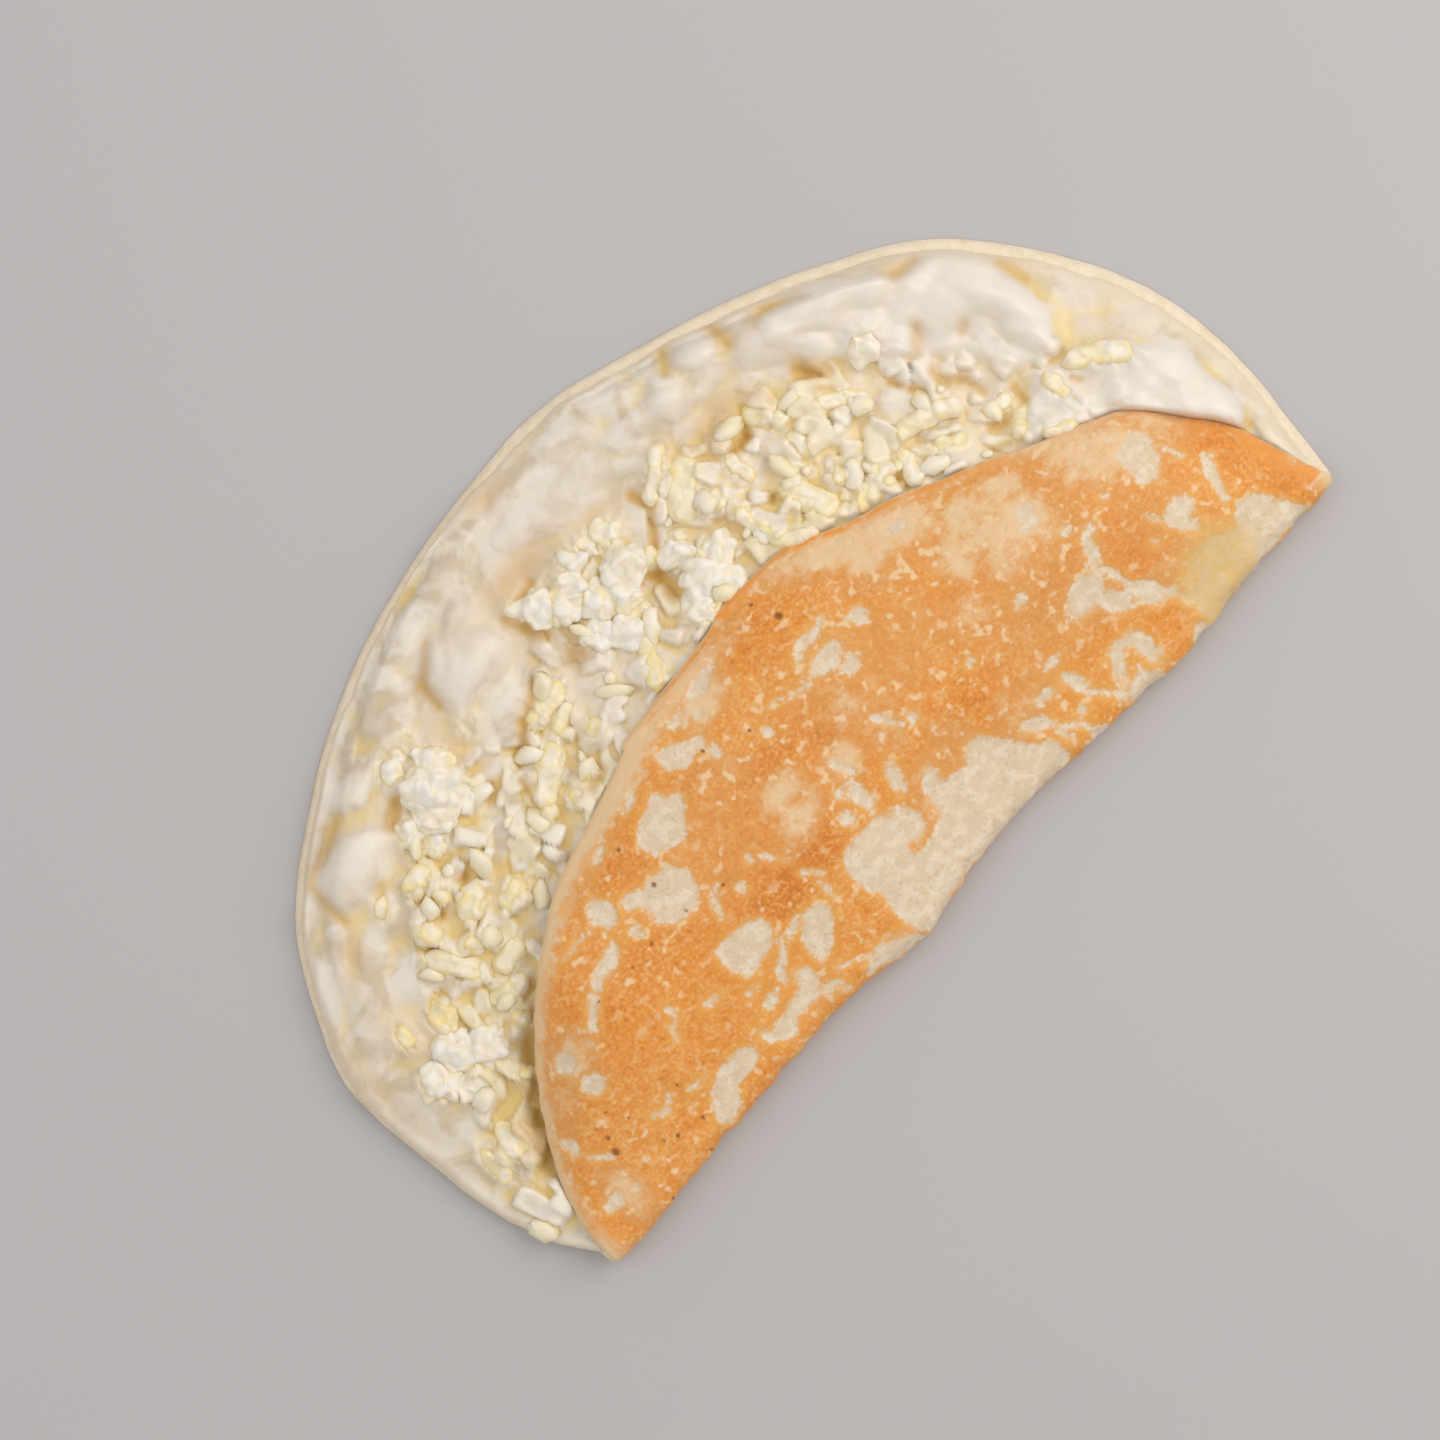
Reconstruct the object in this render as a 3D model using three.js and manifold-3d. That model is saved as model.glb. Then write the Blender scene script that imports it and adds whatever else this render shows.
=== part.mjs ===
// A folded cheese flatbread, lying on its lower leaf. Millimetres, +Z up.
//
// X runs along the fold, Y from the fold towards the open side, and Z = 0 is the surface it rests on.
// The bread is one sheet: a lower leaf, a rounded fold and an upper flap. Melted cheese covers the leaf
// and fills the fold, and softened curds and strands of grated cheese lie on it.

import * as THREE from 'three';
import { mergeVertices } from 'three/addons/utils/BufferGeometryUtils.js';
import Module from 'manifold-3d';

const wasm = await Module();
wasm.setup();

// ---- driving dimensions ----------------------------------------------------------------------------

const BREAD_THICKNESS = 3.6;
const RIM_THICKNESS = 2.2;
const RIM_WIDTH = 5;
const FOLD_RADIUS = 5.3;
const FOLD_Y = -67.4;
const HUMP_HEIGHT = 7.5;
const CONTACT_GAP = 0.3;
const CHEESE_DEPTH = 3.4;
const FILLING_EDGE_Y = FOLD_Y + 4.2;

const FLAP_ROWS = 9;
const FOLD_ROWS = 5;
const LEAF_ROWS = 12;
const BREAD_COLUMNS = 24;
const CHEESE_COLUMNS = 28;
const CHEESE_ROWS = 18;

// ---- small helpers ---------------------------------------------------------------------------------

const clamp01 = (value) => Math.min(1, Math.max(0, value));

const mix = (a, b, t) => a + (b - a) * t;

function smoothstep(low, high, value) {
  const t = clamp01((value - low) / (high - low));
  return t * t * (3 - 2 * t);
}

// Straight-line reading of a list of [key, value] pairs whose keys rise.
function lookUp(pairs, key) {
  if (key <= pairs[0][0]) return pairs[0][1];
  for (let i = 1; i < pairs.length; i += 1) {
    const [k1, v1] = pairs[i];
    if (key <= k1) {
      const [k0, v0] = pairs[i - 1];
      return mix(v0, v1, (key - k0) / (k1 - k0));
    }
  }
  return pairs[pairs.length - 1][1];
}

// Spreads an even 0..1 step so that steps are shorter near both ends.
const easeEnds = (t) => mix(t, 0.5 - 0.5 * Math.cos(Math.PI * t), 0.55);

// ---- outlines, as [y, x] pairs from the fold to the open side --------------------------------------

const LEAF_LEFT = [
  [-70, -108], [-60, -116], [-50, -121], [-38, -124], [-20, -125.3], [-5, -125.8], [5, -124.5],
  [15, -119.7], [24, -114.5], [35, -106], [43.5, -95], [49.5, -85], [55.3, -75], [59.6, -65],
  [63.4, -55], [66.8, -42], [69, -30], [70.6, -18], [71.4, -4],
];
const LEAF_RIGHT = [
  [-70, 119.5], [-60, 122], [-38, 122.8], [-22, 123.3], [-12, 122.8], [0, 119.5], [10, 114.5],
  [24, 105], [32, 100], [37.5, 95], [44.8, 80], [50.8, 70], [55.5, 60], [59.7, 50], [64, 35],
  [68, 27], [70.6, 21], [71.4, 18],
];
const FLAP_LEFT = [
  [-70, -112.5], [-58, -112.5], [-50, -110], [-40.5, -105], [-33.5, -100], [-27.5, -95], [-22.5, -90],
  [-17.7, -85], [-14, -80], [-10.2, -75], [-7.5, -70], [-4.3, -65], [-2, -60], [0.7, -50], [3.5, -40],
  [6.5, -30], [8.5, -25], [9.5, -10], [10.3, 0], [11.6, 5],
];
const FLAP_RIGHT = [
  [-70, 119], [-66, 118.5], [-58, 116], [-50, 113.8], [-45, 112.5], [-40, 110.5], [-35.5, 107],
  [-28, 102], [-23.5, 98], [-19, 90], [-14.5, 80], [-8.8, 70], [-4.5, 60], [0.5, 50], [4, 40],
  [8.8, 30], [11.2, 22], [11.8, 12],
];
const LEAF_TOP_Y = 71.8;
const FLAP_TOP_Y = 12;

// How far the fold wanders in Y along its length, as [x, shift] pairs.
const FOLD_WANDER = [
  [-110, -0.6], [-70, 1.3], [-30, 0.9], [-15, -1.8], [0, 0.4], [20, 1.4], [50, -0.9], [72, -2.3],
  [90, -1.1], [120, -1.1],
];

// The free edge of the flap, as [x, y] pairs from left to right.
const FLAP_EDGE = [
  [-112.5, -58], [-110, -50], [-100, -33.5], [-90, -22.5], [-80, -14], [-70, -7.5], [-60, -2],
  [-40, 3.5], [-25, 8.5], [0, 10.3], [10, 12], [20, 11.5], [30, 8.8], [50, 0.5], [70, -8.8],
  [90, -19], [98, -23.5], [107, -35.5], [112.5, -45], [116, -58], [119, -67],
];

// ---- the bread: one sheet through flap, fold and leaf ----------------------------------------------

// Height of the flap's middle layer above its height at the fold, where t runs 0..1 from the fold
// to the free edge.
function flapRise(x, t) {
  const ends = smoothstep(-118, -70, x) * smoothstep(124, 78, x);
  const hump = HUMP_HEIGHT * ends * Math.sin(Math.PI * clamp01(t) ** 1.05) ** 1.15;
  const edge = mix(-1.2, 4.6, ends) + 1.6 * smoothstep(-50, -80, x) * ends;
  return hump + edge * smoothstep(0, 1, t);
}

// How far across the flap a point lies: 0 at the fold, 1 at the free edge.
function acrossFlap(x, y) {
  const start = FOLD_Y + FOLD_RADIUS;
  return (y - start) / Math.max(4, lookUp(FLAP_EDGE, x) - start);
}

const flapMiddleZ = (x, y) => 2 * FOLD_RADIUS - BREAD_THICKNESS / 2 + flapRise(x, acrossFlap(x, y));

// Half the thickness of the sheet, thinner near its rim.
function halfThickness(rimDistance) {
  return mix(RIM_THICKNESS, BREAD_THICKNESS, smoothstep(0, RIM_WIDTH, rimDistance)) / 2;
}

// A point of the sheet. across is 0..1 along X, row is 0..1 from the flap's free edge, round the fold,
// to the leaf's open edge, and side is -1 on the outside and +1 on the filling's side.
function breadPoint(across, row, side) {
  const rows = FLAP_ROWS + FOLD_ROWS + LEAF_ROWS;
  const step = row * rows;
  const start = FOLD_Y + FOLD_RADIUS;
  if (step < FLAP_ROWS) {
    const angle = (1 - step / FLAP_ROWS) * Math.PI / 2;
    const y0 = start + (FLAP_TOP_Y - start) * Math.sin(angle);
    const left = lookUp(FLAP_LEFT, y0);
    const right = lookUp(FLAP_RIGHT, y0);
    const x = mix(left, right, across);
    const y = y0 + lookUp(FOLD_WANDER, x) * Math.cos(angle) ** 2;
    const rim = Math.min(FLAP_TOP_Y + 3 - y0, (x - left) + 1, (right - x) + 1);
    const half = halfThickness(rim);
    const slopeX = (flapMiddleZ(x + 0.5, y0) - flapMiddleZ(x - 0.5, y0)) * 0.6;
    const slopeY = flapMiddleZ(x, y0 + 0.5) - flapMiddleZ(x, y0 - 0.5);
    const down = new THREE.Vector3(slopeX, slopeY, -1).normalize();
    return new THREE.Vector3(x, y, flapMiddleZ(x, y0)).addScaledVector(down, side * half);
  }
  if (step <= FLAP_ROWS + FOLD_ROWS) {
    const turn = (step - FLAP_ROWS) / FOLD_ROWS;
    const angle = Math.PI * (1 - turn);
    const left = mix(lookUp(FLAP_LEFT, start), lookUp(LEAF_LEFT, start), turn);
    const right = mix(lookUp(FLAP_RIGHT, start), lookUp(LEAF_RIGHT, start), turn);
    const x = mix(left, right, across);
    const rim = Math.min((x - left) + 1, (right - x) + 1);
    const half = halfThickness(rim);
    const middle = FOLD_RADIUS - BREAD_THICKNESS / 2;
    const radius = middle - side * half;
    const y = start + lookUp(FOLD_WANDER, x) - radius * Math.sin(angle);
    return new THREE.Vector3(x, y, FOLD_RADIUS - radius * Math.cos(angle));
  }
  const angle = ((step - FLAP_ROWS - FOLD_ROWS) / LEAF_ROWS) * Math.PI / 2;
  const y0 = start + (LEAF_TOP_Y - start) * Math.sin(angle);
  const left = lookUp(LEAF_LEFT, y0);
  const right = lookUp(LEAF_RIGHT, y0);
  const x = mix(left, right, across);
  const y = y0 + lookUp(FOLD_WANDER, x) * Math.cos(angle) ** 2;
  const rim = Math.min(LEAF_TOP_Y - y0, x - left, right - x);
  const half = halfThickness(rim);
  return new THREE.Vector3(x, y, side > 0 ? 2 * half : 0);
}

// A box of many segments, bent into a sheet by a function of its three 0..1 coordinates.
function bentBox(columns, rows, place) {
  const geometry = new THREE.BoxGeometry(1, 1, 1, columns, rows, 1);
  const positions = geometry.attributes.position;
  for (let i = 0; i < positions.count; i += 1) {
    const point = place(positions.getX(i) + 0.5, positions.getY(i) + 0.5, positions.getZ(i) * 2);
    positions.setXYZ(i, point.x, point.y, point.z);
  }
  return geometry;
}

function breadGeometry() {
  const rows = FLAP_ROWS + FOLD_ROWS + LEAF_ROWS;
  return bentBox(BREAD_COLUMNS, rows, (u, v, side) => breadPoint(easeEnds(u), v, side));
}

// ---- solids: joining and cutting -------------------------------------------------------------------

// A solid of the geometry, or with a gap, of the geometry swollen by that much all over.
function toSolid(geometry, gap = 0) {
  const bare = geometry.clone();
  bare.deleteAttribute('normal');
  bare.deleteAttribute('uv');
  const merged = mergeVertices(bare, 1e-4);
  if (gap > 0) {
    merged.computeVertexNormals();
    const { position, normal } = merged.attributes;
    for (let i = 0; i < position.count; i += 1) {
      const x = position.getX(i) + normal.getX(i) * gap;
      const y = position.getY(i) + normal.getY(i) * gap;
      position.setXYZ(i, x, y, position.getZ(i) + normal.getZ(i) * gap);
    }
  }
  const vertProperties = Float32Array.from(merged.attributes.position.array);
  const triVerts = Uint32Array.from(merged.index.array);
  return new wasm.Manifold(new wasm.Mesh({ numProp: 3, vertProperties, triVerts }));
}

function toGeometry(solid) {
  const mesh = solid.getMesh();
  const geometry = new THREE.BufferGeometry();
  geometry.setAttribute('position', new THREE.BufferAttribute(mesh.vertProperties, 3));
  geometry.setIndex(new THREE.BufferAttribute(mesh.triVerts, 1));
  return geometry;
}

function largestBody(solid) {
  const bodies = solid.decompose();
  return bodies.reduce((best, body) => (body.volume() > best.volume() ? body : best));
}

// ---- the melted cheese -----------------------------------------------------------------------------

// Swellings of the layer: centre x, y, half-widths along x and y, turn in degrees, height.
const SWELLINGS = [
  [-84, 34, 12, 8, 25, 3.2],
  [-38, 46, 10, 9, 0, 4.4],
  [-72, 46, 6, 4, 30, 2.4],
  [-106, 22, 14, 6, 55, 1.6],
  [-114, -8, 8, 16, 5, 1.2],
  [32, 53, 6, 5, 0, 3],
  [44, 54, 6, 5, -15, 3.4],
  [57, 47, 10, 5, -35, 3.4],
  [75, 41, 11, 5.5, -35, 4],
  [85, 33, 8, 5, -30, 2.6],
  [97, 15, 8, 15, 0, 3.6],
  [109, -22, 10, 12, -35, 3.6],
  [113, -36, 7, 10, 10, 3],
  [-5, 36, 22, 12, 0, 1.8],
  [35, 20, 28, 18, 0, 1.6],
  [-82, 2, 16, 14, 0, 1.4],
];

function swell(x, y) {
  let height = 0;
  for (const [cx, cy, halfX, halfY, turn, rise] of SWELLINGS) {
    const angle = THREE.MathUtils.degToRad(turn);
    const along = ((x - cx) * Math.cos(angle) + (y - cy) * Math.sin(angle)) / halfX;
    const aside = ((y - cy) * Math.cos(angle) - (x - cx) * Math.sin(angle)) / halfY;
    height += rise * Math.exp(-(along * along + aside * aside));
  }
  return height;
}

// Width of bare rim at the left, at the open side and at the right.
const BARE_RIM = 3.6;

function cheeseEdges(y) {
  const left = lookUp(LEAF_LEFT, y + BARE_RIM * 0.7) + BARE_RIM;
  const right = lookUp(LEAF_RIGHT, y + BARE_RIM * 0.7) - BARE_RIM;
  return [left, right];
}

// Height of the layer's top. Past the flap's free edge it falls from the filling to the open layer,
// and under the lifted left edge it stays low, which leaves the edge standing clear.
function cheeseTop(x, y) {
  const [left, right] = cheeseEdges(y);
  const rim = Math.min(x - left, right - x, (LEAF_TOP_Y - BARE_RIM - y) * 1.3);
  const open = BREAD_THICKNESS + mix(0.9, CHEESE_DEPTH, smoothstep(0, 7, rim)) + swell(x, y) * clamp01(rim / 5);
  const t = acrossFlap(x, y);
  const lifted = smoothstep(-44, -72, x) * smoothstep(0.45, 0.9, t) * 5.4;
  const filling = flapMiddleZ(x, Math.min(y, lookUp(FLAP_EDGE, x))) - lifted - 0.4;
  const under = 1 - smoothstep(0.94, 1.16, t);
  return mix(open, Math.max(open, filling), under * smoothstep(-1, 8, rim));
}

function cheesePoint(across, row, side) {
  const top = LEAF_TOP_Y - BARE_RIM;
  const middle = (top + FILLING_EDGE_Y) / 2;
  const y0 = middle + (top - middle) * Math.sin((row - 0.5) * Math.PI * 0.97);
  const [left, right] = cheeseEdges(y0);
  const x = mix(left, right, across);
  const y = y0 + lookUp(FOLD_WANDER, x) * smoothstep(-20, FILLING_EDGE_Y, y0);
  return new THREE.Vector3(x, y, side > 0 ? cheeseTop(x, y0) : BREAD_THICKNESS / 2);
}

function cheeseGeometry() {
  return bentBox(CHEESE_COLUMNS, CHEESE_ROWS, (u, v, side) => cheesePoint(easeEnds(u), v, side));
}

// ---- curds: softened crumbles, each a few lobes grown together -------------------------------------

// Each lobe: x, y, half-width, and height above the layer as a share of the half-width.
const CURDS = {
  curd_big_crumble: [[-64, 32, 7, 0.35], [-60, 36, 4.6, 0.4], [-68, 28, 4.8, 0.3], [-61, 26.5, 4, 0.2]],
  curd_granules: [[-74, 29, 3.8, 0.3], [-77, 25.5, 2.8, 0.3], [-72.5, 24.5, 3, 0.2]],
  curd_curl: [[-67.5, 42, 2.9, 0.5], [-64, 43.2, 2.7, 0.5], [-60.5, 43.5, 2.3, 0.4]],
  curd_cluster_left: [[-19, 41, 3.9, 0.5], [-15, 37.6, 3.6, 0.4], [-11, 40, 3.6, 0.5], [-23, 45, 2.5, 0.5]],
  curd_cluster_back: [[-7, 43.5, 3.1, 0.4], [-2, 43, 2.9, 0.4], [3, 42, 3, 0.4]],
  curd_cluster_middle: [[-9, 33.5, 4.2, 0.4], [0, 33.5, 4.8, 0.4], [-4.5, 30, 3.6, 0.3]],
  curd_cluster_front: [[-15, 28, 4, 0.4], [-10, 24, 4.2, 0.35], [-4.5, 24.5, 3.2, 0.3]],
  curd_white_mass: [[5, 16, 4.4, 0.5], [10.5, 18.5, 5.4, 0.5], [16, 21, 4.6, 0.5], [13, 13.8, 3.6, 0.4]],
  curd_round: [[10, 27.5, 3.9, 0.4], [13, 25.5, 2.6, 0.3]],
  curd_ragged: [[-110, -12, 4.6, 0.2], [-103, -10, 5, 0.25], [-97.5, -14, 4.6, 0.3], [-106, -18.5, 3.8, 0.2]],
  curd_right: [[70.5, 28, 3.9, 0.4], [66, 22, 3.7, 0.4]],
};
const CURD_FLATNESS = 0.72;
const LOBE_SIDES = 7;
const LOBE_RINGS = 5;

function curdSolid(lobes, gap) {
  let clump = null;
  for (const [x, y, radius, rise] of lobes) {
    const ball = new THREE.SphereGeometry(radius, LOBE_SIDES, LOBE_RINGS);
    ball.rotateZ(x + y);
    ball.scale(1, 1, CURD_FLATNESS);
    ball.translate(x, y, cheeseTop(x, y) + rise * radius);
    const lobe = toSolid(ball, gap);
    clump = clump ? clump.add(lobe) : lobe;
  }
  return clump;
}

// ---- strands of grated cheese ----------------------------------------------------------------------

// Each strand: start x, y, end x, y, width, bow to its left at mid length, and height above the layer.
// Strands that lie lower come first.
const SHREDS = [
  [-93.5, 21, -88, 24, 4.6, 0, 0.2],
  [-85, 21, -75.5, 22, 3.6, 0.5, 0.4],
  [-88, 8.6, -88, 15, 4.6, 0, 0.2],
  [-83, 15, -77, 15.6, 5.2, 0, 0.4],
  [-81, 7, -71.5, 11, 6.6, 0.6, 0.6],
  [-74, 2, -64.5, 4.6, 5.4, 0.4, 0.4],
  [-85, 1, -80.6, 5, 5.4, 0, 0.6],
  [-92.6, 8.4, -86, -4.2, 4.4, 0.8, 1.2],
  [-84.5, -5, -74.5, -3, 5, -0.5, 1],
  [-90.5, -9, -80.5, -10.2, 5, -0.4, 0.8],
  [-90.6, -16.6, -86.2, -15, 5.6, 0, 0.8],
  [-108, -4, -108, 4, 4, 0.5, 0],
  [-99.5, -8, -98.5, 2.5, 8, 0.4, 0.2],
  [-97.6, -27, -95.4, -21.6, 5.2, 0, 0.2],
  [-115.6, -39, -115.4, -27.4, 4, 0.4, 0],
  [-109, -38.6, -108.6, -26.6, 8.6, 0, 0.2],
  [-49, 32.6, -48.6, 39.6, 6, 0, 0.2],
  [-41, 25, -27.4, 27, 6, 0.4, 0.4],
  [-38, 20.8, -30, 21.8, 2.8, 0.3, 0.8],
  [-51, 11, -37.4, 20, 5, 0.6, 0.8],
  [-47.4, 7.4, -41, 8.6, 4, 0, 0.4],
  [-33.4, 14.8, -26.8, 15.2, 4.2, 0, 0.4],
  [-15, 10, -8.2, 22, 4, -0.6, 0.8],
  [2.6, 29.8, 7, 32.6, 4, 0, 0.8],
  [15, 30, 27.6, 41.6, 6.8, 0, 0.8],
  [14, 38.6, 25, 46, 3, 0.3, 1],
  [20.4, 28, 27.6, 29.8, 5, 0, 0.2],
  [33, 25, 33.2, 35, 4.2, 0.3, 0.6],
  [44, 30, 44.2, 38.4, 5, 0, 0.2],
  [26.4, 25.6, 33.6, 7.6, 3.6, -4.2, 1.2],
  [35.4, 20.4, 39.8, 7, 5.2, 0.4, 1.2],
  [45, 20, 45.4, 28, 4, 0, 0.4],
  [45, 10.4, 46.8, 15, 3.8, 0, 0.8],
  [44, 3.4, 49, 8.6, 3.4, 0, 1],
  [51.6, 12, 53, 2.4, 3, 0, 1],
  [57.2, -2, 58.8, 7.4, 4.6, 0, 1],
  [53, 28.4, 63.6, 18.4, 5, 0.6, 0.8],
  [60.4, 9.4, 76, 3.6, 3.6, 0.8, 2],
  [64, 3, 72, -3.4, 4.2, 0, 1],
  [76, -2.2, 85, -3, 3.4, 0, 1],
  [77.4, -10.4, 85.6, -6.6, 4, 0, 0.8],
  [82, -12.2, 90, -18, 4.8, 0, 1],
  [93, -17.6, 92.6, -5, 4.2, 0.4, 1.2],
  [97, -6.4, 110, -17.6, 4.4, 0.6, 1],
];
const SHRED_THICKNESS = 3.8;
const SHRED_SIDES = 6;
const SHRED_STEPS = 3;

function shredGeometry([x0, y0, x1, y1, width, bow, rise]) {
  const start = new THREE.Vector2(x0, y0);
  const run = new THREE.Vector2(x1 - x0, y1 - y0);
  const length = run.length();
  const along = run.clone().normalize();
  const toRight = new THREE.Vector2(along.y, -along.x);
  const halfWidth = width / 2;
  const halfThick = SHRED_THICKNESS / 2;
  const straight = Math.max(0.5, length - width);
  const capsule = new THREE.CapsuleGeometry(1, straight / halfWidth, 1, SHRED_SIDES, SHRED_STEPS);
  const positions = capsule.attributes.position;
  for (let i = 0; i < positions.count; i += 1) {
    const reach = positions.getY(i) * halfWidth;
    const t = reach / length + 0.5;
    const offset = positions.getX(i) * halfWidth - 4 * bow * t * (1 - t);
    const x = start.x + along.x * t * length + toRight.x * offset;
    const y = start.y + along.y * t * length + toRight.y * offset;
    const z = cheeseTop(x, y) + rise + positions.getZ(i) * halfThick;
    positions.setXYZ(i, x, y, z);
  }
  return capsule;
}

// ---- materials -------------------------------------------------------------------------------------

const toastedBread = () => new THREE.MeshStandardMaterial({ color: '#dca062', roughness: 0.72, metalness: 0 });
const meltedCheese = () => new THREE.MeshStandardMaterial({ color: '#e2d6c0', roughness: 0.38, metalness: 0 });
const softCurd = () => new THREE.MeshStandardMaterial({ color: '#ece2d2', roughness: 0.5, metalness: 0 });
const gratedCheese = () => new THREE.MeshStandardMaterial({ color: '#f0e4c6', roughness: 0.42, metalness: 0 });

// ---- assembly --------------------------------------------------------------------------------------

const flatbread = new THREE.Group();

function addPiece(name, solid, material) {
  const mesh = new THREE.Mesh(toGeometry(solid), material);
  mesh.name = name;
  flatbread.add(mesh);
}

addPiece('flatbread', toSolid(breadGeometry()), toastedBread());
let occupied = toSolid(breadGeometry(), CONTACT_GAP);

addPiece('melted_cheese', largestBody(toSolid(cheeseGeometry()).subtract(occupied)), meltedCheese());
occupied = occupied.add(toSolid(cheeseGeometry(), CONTACT_GAP));

for (const [name, lobes] of Object.entries(CURDS)) {
  addPiece(name, largestBody(curdSolid(lobes, 0).subtract(occupied)), softCurd());
  occupied = occupied.add(curdSolid(lobes, CONTACT_GAP));
}

SHREDS.forEach((shred, index) => {
  const name = `shred_${String(index + 1).padStart(2, '0')}`;
  const strand = shredGeometry(shred);
  addPiece(name, largestBody(toSolid(strand).subtract(occupied)), gratedCheese());
  occupied = occupied.add(toSolid(strand, CONTACT_GAP));
});

// The origin is under the middle of the whole part.
const middle = new THREE.Box3().setFromObject(flatbread).getCenter(new THREE.Vector3());
flatbread.position.set(-middle.x, -middle.y, 0);

export default flatbread;
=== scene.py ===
"""A folded cheese flatbread: toasted bread, melted cheese, curds and strands, with a stage."""

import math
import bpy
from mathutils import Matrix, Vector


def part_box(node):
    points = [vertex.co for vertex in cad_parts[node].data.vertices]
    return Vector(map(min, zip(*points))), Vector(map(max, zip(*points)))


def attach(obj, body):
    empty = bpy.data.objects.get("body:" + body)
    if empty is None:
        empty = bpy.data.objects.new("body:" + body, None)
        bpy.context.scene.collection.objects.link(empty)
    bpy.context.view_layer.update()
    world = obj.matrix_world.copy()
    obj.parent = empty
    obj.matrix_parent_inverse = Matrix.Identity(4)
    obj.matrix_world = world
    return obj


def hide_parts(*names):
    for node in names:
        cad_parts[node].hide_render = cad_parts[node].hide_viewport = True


bl_info = {
    "name": "Cheese Flatbread",
    "version": (1, 0, 0),
    "blender": (4, 5, 0),
    "location": "View3D > Sidebar > Flatbread",
    "description": "Builds a folded flatbread with a melted cheese filling",
    "category": "Mesh",
}

import bmesh
import bpy
import numpy as np
from mathutils import Euler, Vector, noise
from mathutils.bvhtree import BVHTree
from mathutils.kdtree import KDTree

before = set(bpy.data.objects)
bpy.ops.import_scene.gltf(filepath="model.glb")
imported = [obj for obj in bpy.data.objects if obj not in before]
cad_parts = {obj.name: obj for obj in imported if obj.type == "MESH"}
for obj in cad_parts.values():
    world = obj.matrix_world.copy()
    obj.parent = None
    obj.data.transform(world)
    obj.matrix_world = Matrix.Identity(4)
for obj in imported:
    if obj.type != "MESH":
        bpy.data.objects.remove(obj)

MM = 0.001
SEED = 41

# ---- sizes, in millimetres, on the drawing of the bread -------------------------------------
# The drawing's origin is on the fold's middle, and the part's is under the middle of its box.

DRAWING_LEFT = -125.5
DRAWING_FRONT = -69.4
FOLD_Y = -67.4
FOLD_RADIUS = 5.3
FLAP_START = FOLD_Y + FOLD_RADIUS
FLAP_TOP_Y = 12.0
LEAF_TOP_Y = 71.8
HUMP_HEIGHT = 7.5
RIM_THICKNESS = 2.2
RIM_WIDTH = 5.0
BARE_RIM = 2.2
SHEET_THICKNESS = 3.6

# Outlines as (y, x) pairs, from the fold to the open side.
LEAF_LEFT = (
    (-70, -108), (-60, -116), (-50, -121), (-38, -124), (-20, -125.3), (-5, -125.8), (5, -124.5),
    (15, -119.7), (24, -114.5), (35, -106), (43.5, -95), (49.5, -85), (55.3, -75), (59.6, -65),
    (63.4, -55), (66.8, -42), (69, -30), (70.6, -17), (71.5, -4), (71.8, 4),
)
LEAF_RIGHT = (
    (-70, 118.3), (-62, 120.2), (-49, 122.6), (-38, 124.4), (-22, 124.8), (-12, 123.4),
    (0, 119.6), (10, 114.8), (24, 106), (32, 99.5), (39, 91), (45.6, 80), (51.4, 69.6),
    (56, 59.6), (60.2, 49), (64.2, 37.4), (67.6, 27), (70.4, 17), (71.8, 7),
)
FLAP_LEFT = (
    (-70, -112.5), (-58, -112.5), (-50, -110), (-40.5, -105), (-33.5, -100), (-27.5, -95),
    (-22.5, -90), (-17.7, -85), (-14, -80), (-10.2, -75), (-7.5, -70), (-4.3, -65), (-2, -60),
    (0.7, -50), (3.5, -40), (6.5, -30), (8.5, -25), (9.5, -10), (10.3, 0), (11.6, 5),
)
FLAP_RIGHT = (
    (-70, 119), (-66, 118.5), (-58, 116), (-50, 113.8), (-45, 112.5), (-40, 110.5), (-35.5, 107),
    (-28, 102), (-23.5, 98), (-19, 90), (-14.5, 80), (-8.8, 70), (-4.5, 60), (0.5, 50), (4, 40),
    (8.8, 30), (11.2, 22), (11.8, 12),
)
# The flap's free edge as (x, y) pairs, and how the fold wanders in y along its length.
FLAP_EDGE = (
    (-112.5, -58), (-110, -50), (-100, -33.5), (-90, -22.5), (-80, -14), (-70, -7.5), (-60, -2),
    (-40, 3.5), (-25, 8.5), (0, 10.3), (10, 12), (20, 11.5), (30, 8.8), (50, 0.5), (70, -8.8),
    (90, -19), (98, -23.5), (107, -35.5), (112.5, -45), (116, -58), (119, -67),
)
FOLD_WANDER = (
    (-110, -0.6), (-70, 1.3), (-30, 0.9), (-15, -1.8), (0, 0.4), (20, 1.4), (50, -0.9),
    (72, -2.3), (90, -1.1), (120, -1.1),
)


# ---- settings -------------------------------------------------------------------------------


def colour_property(name, text, value):
    """A colour setting whose default is an sRGB hex value."""
    return bpy.props.StringProperty(name=name, description=text, default=value)


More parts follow.
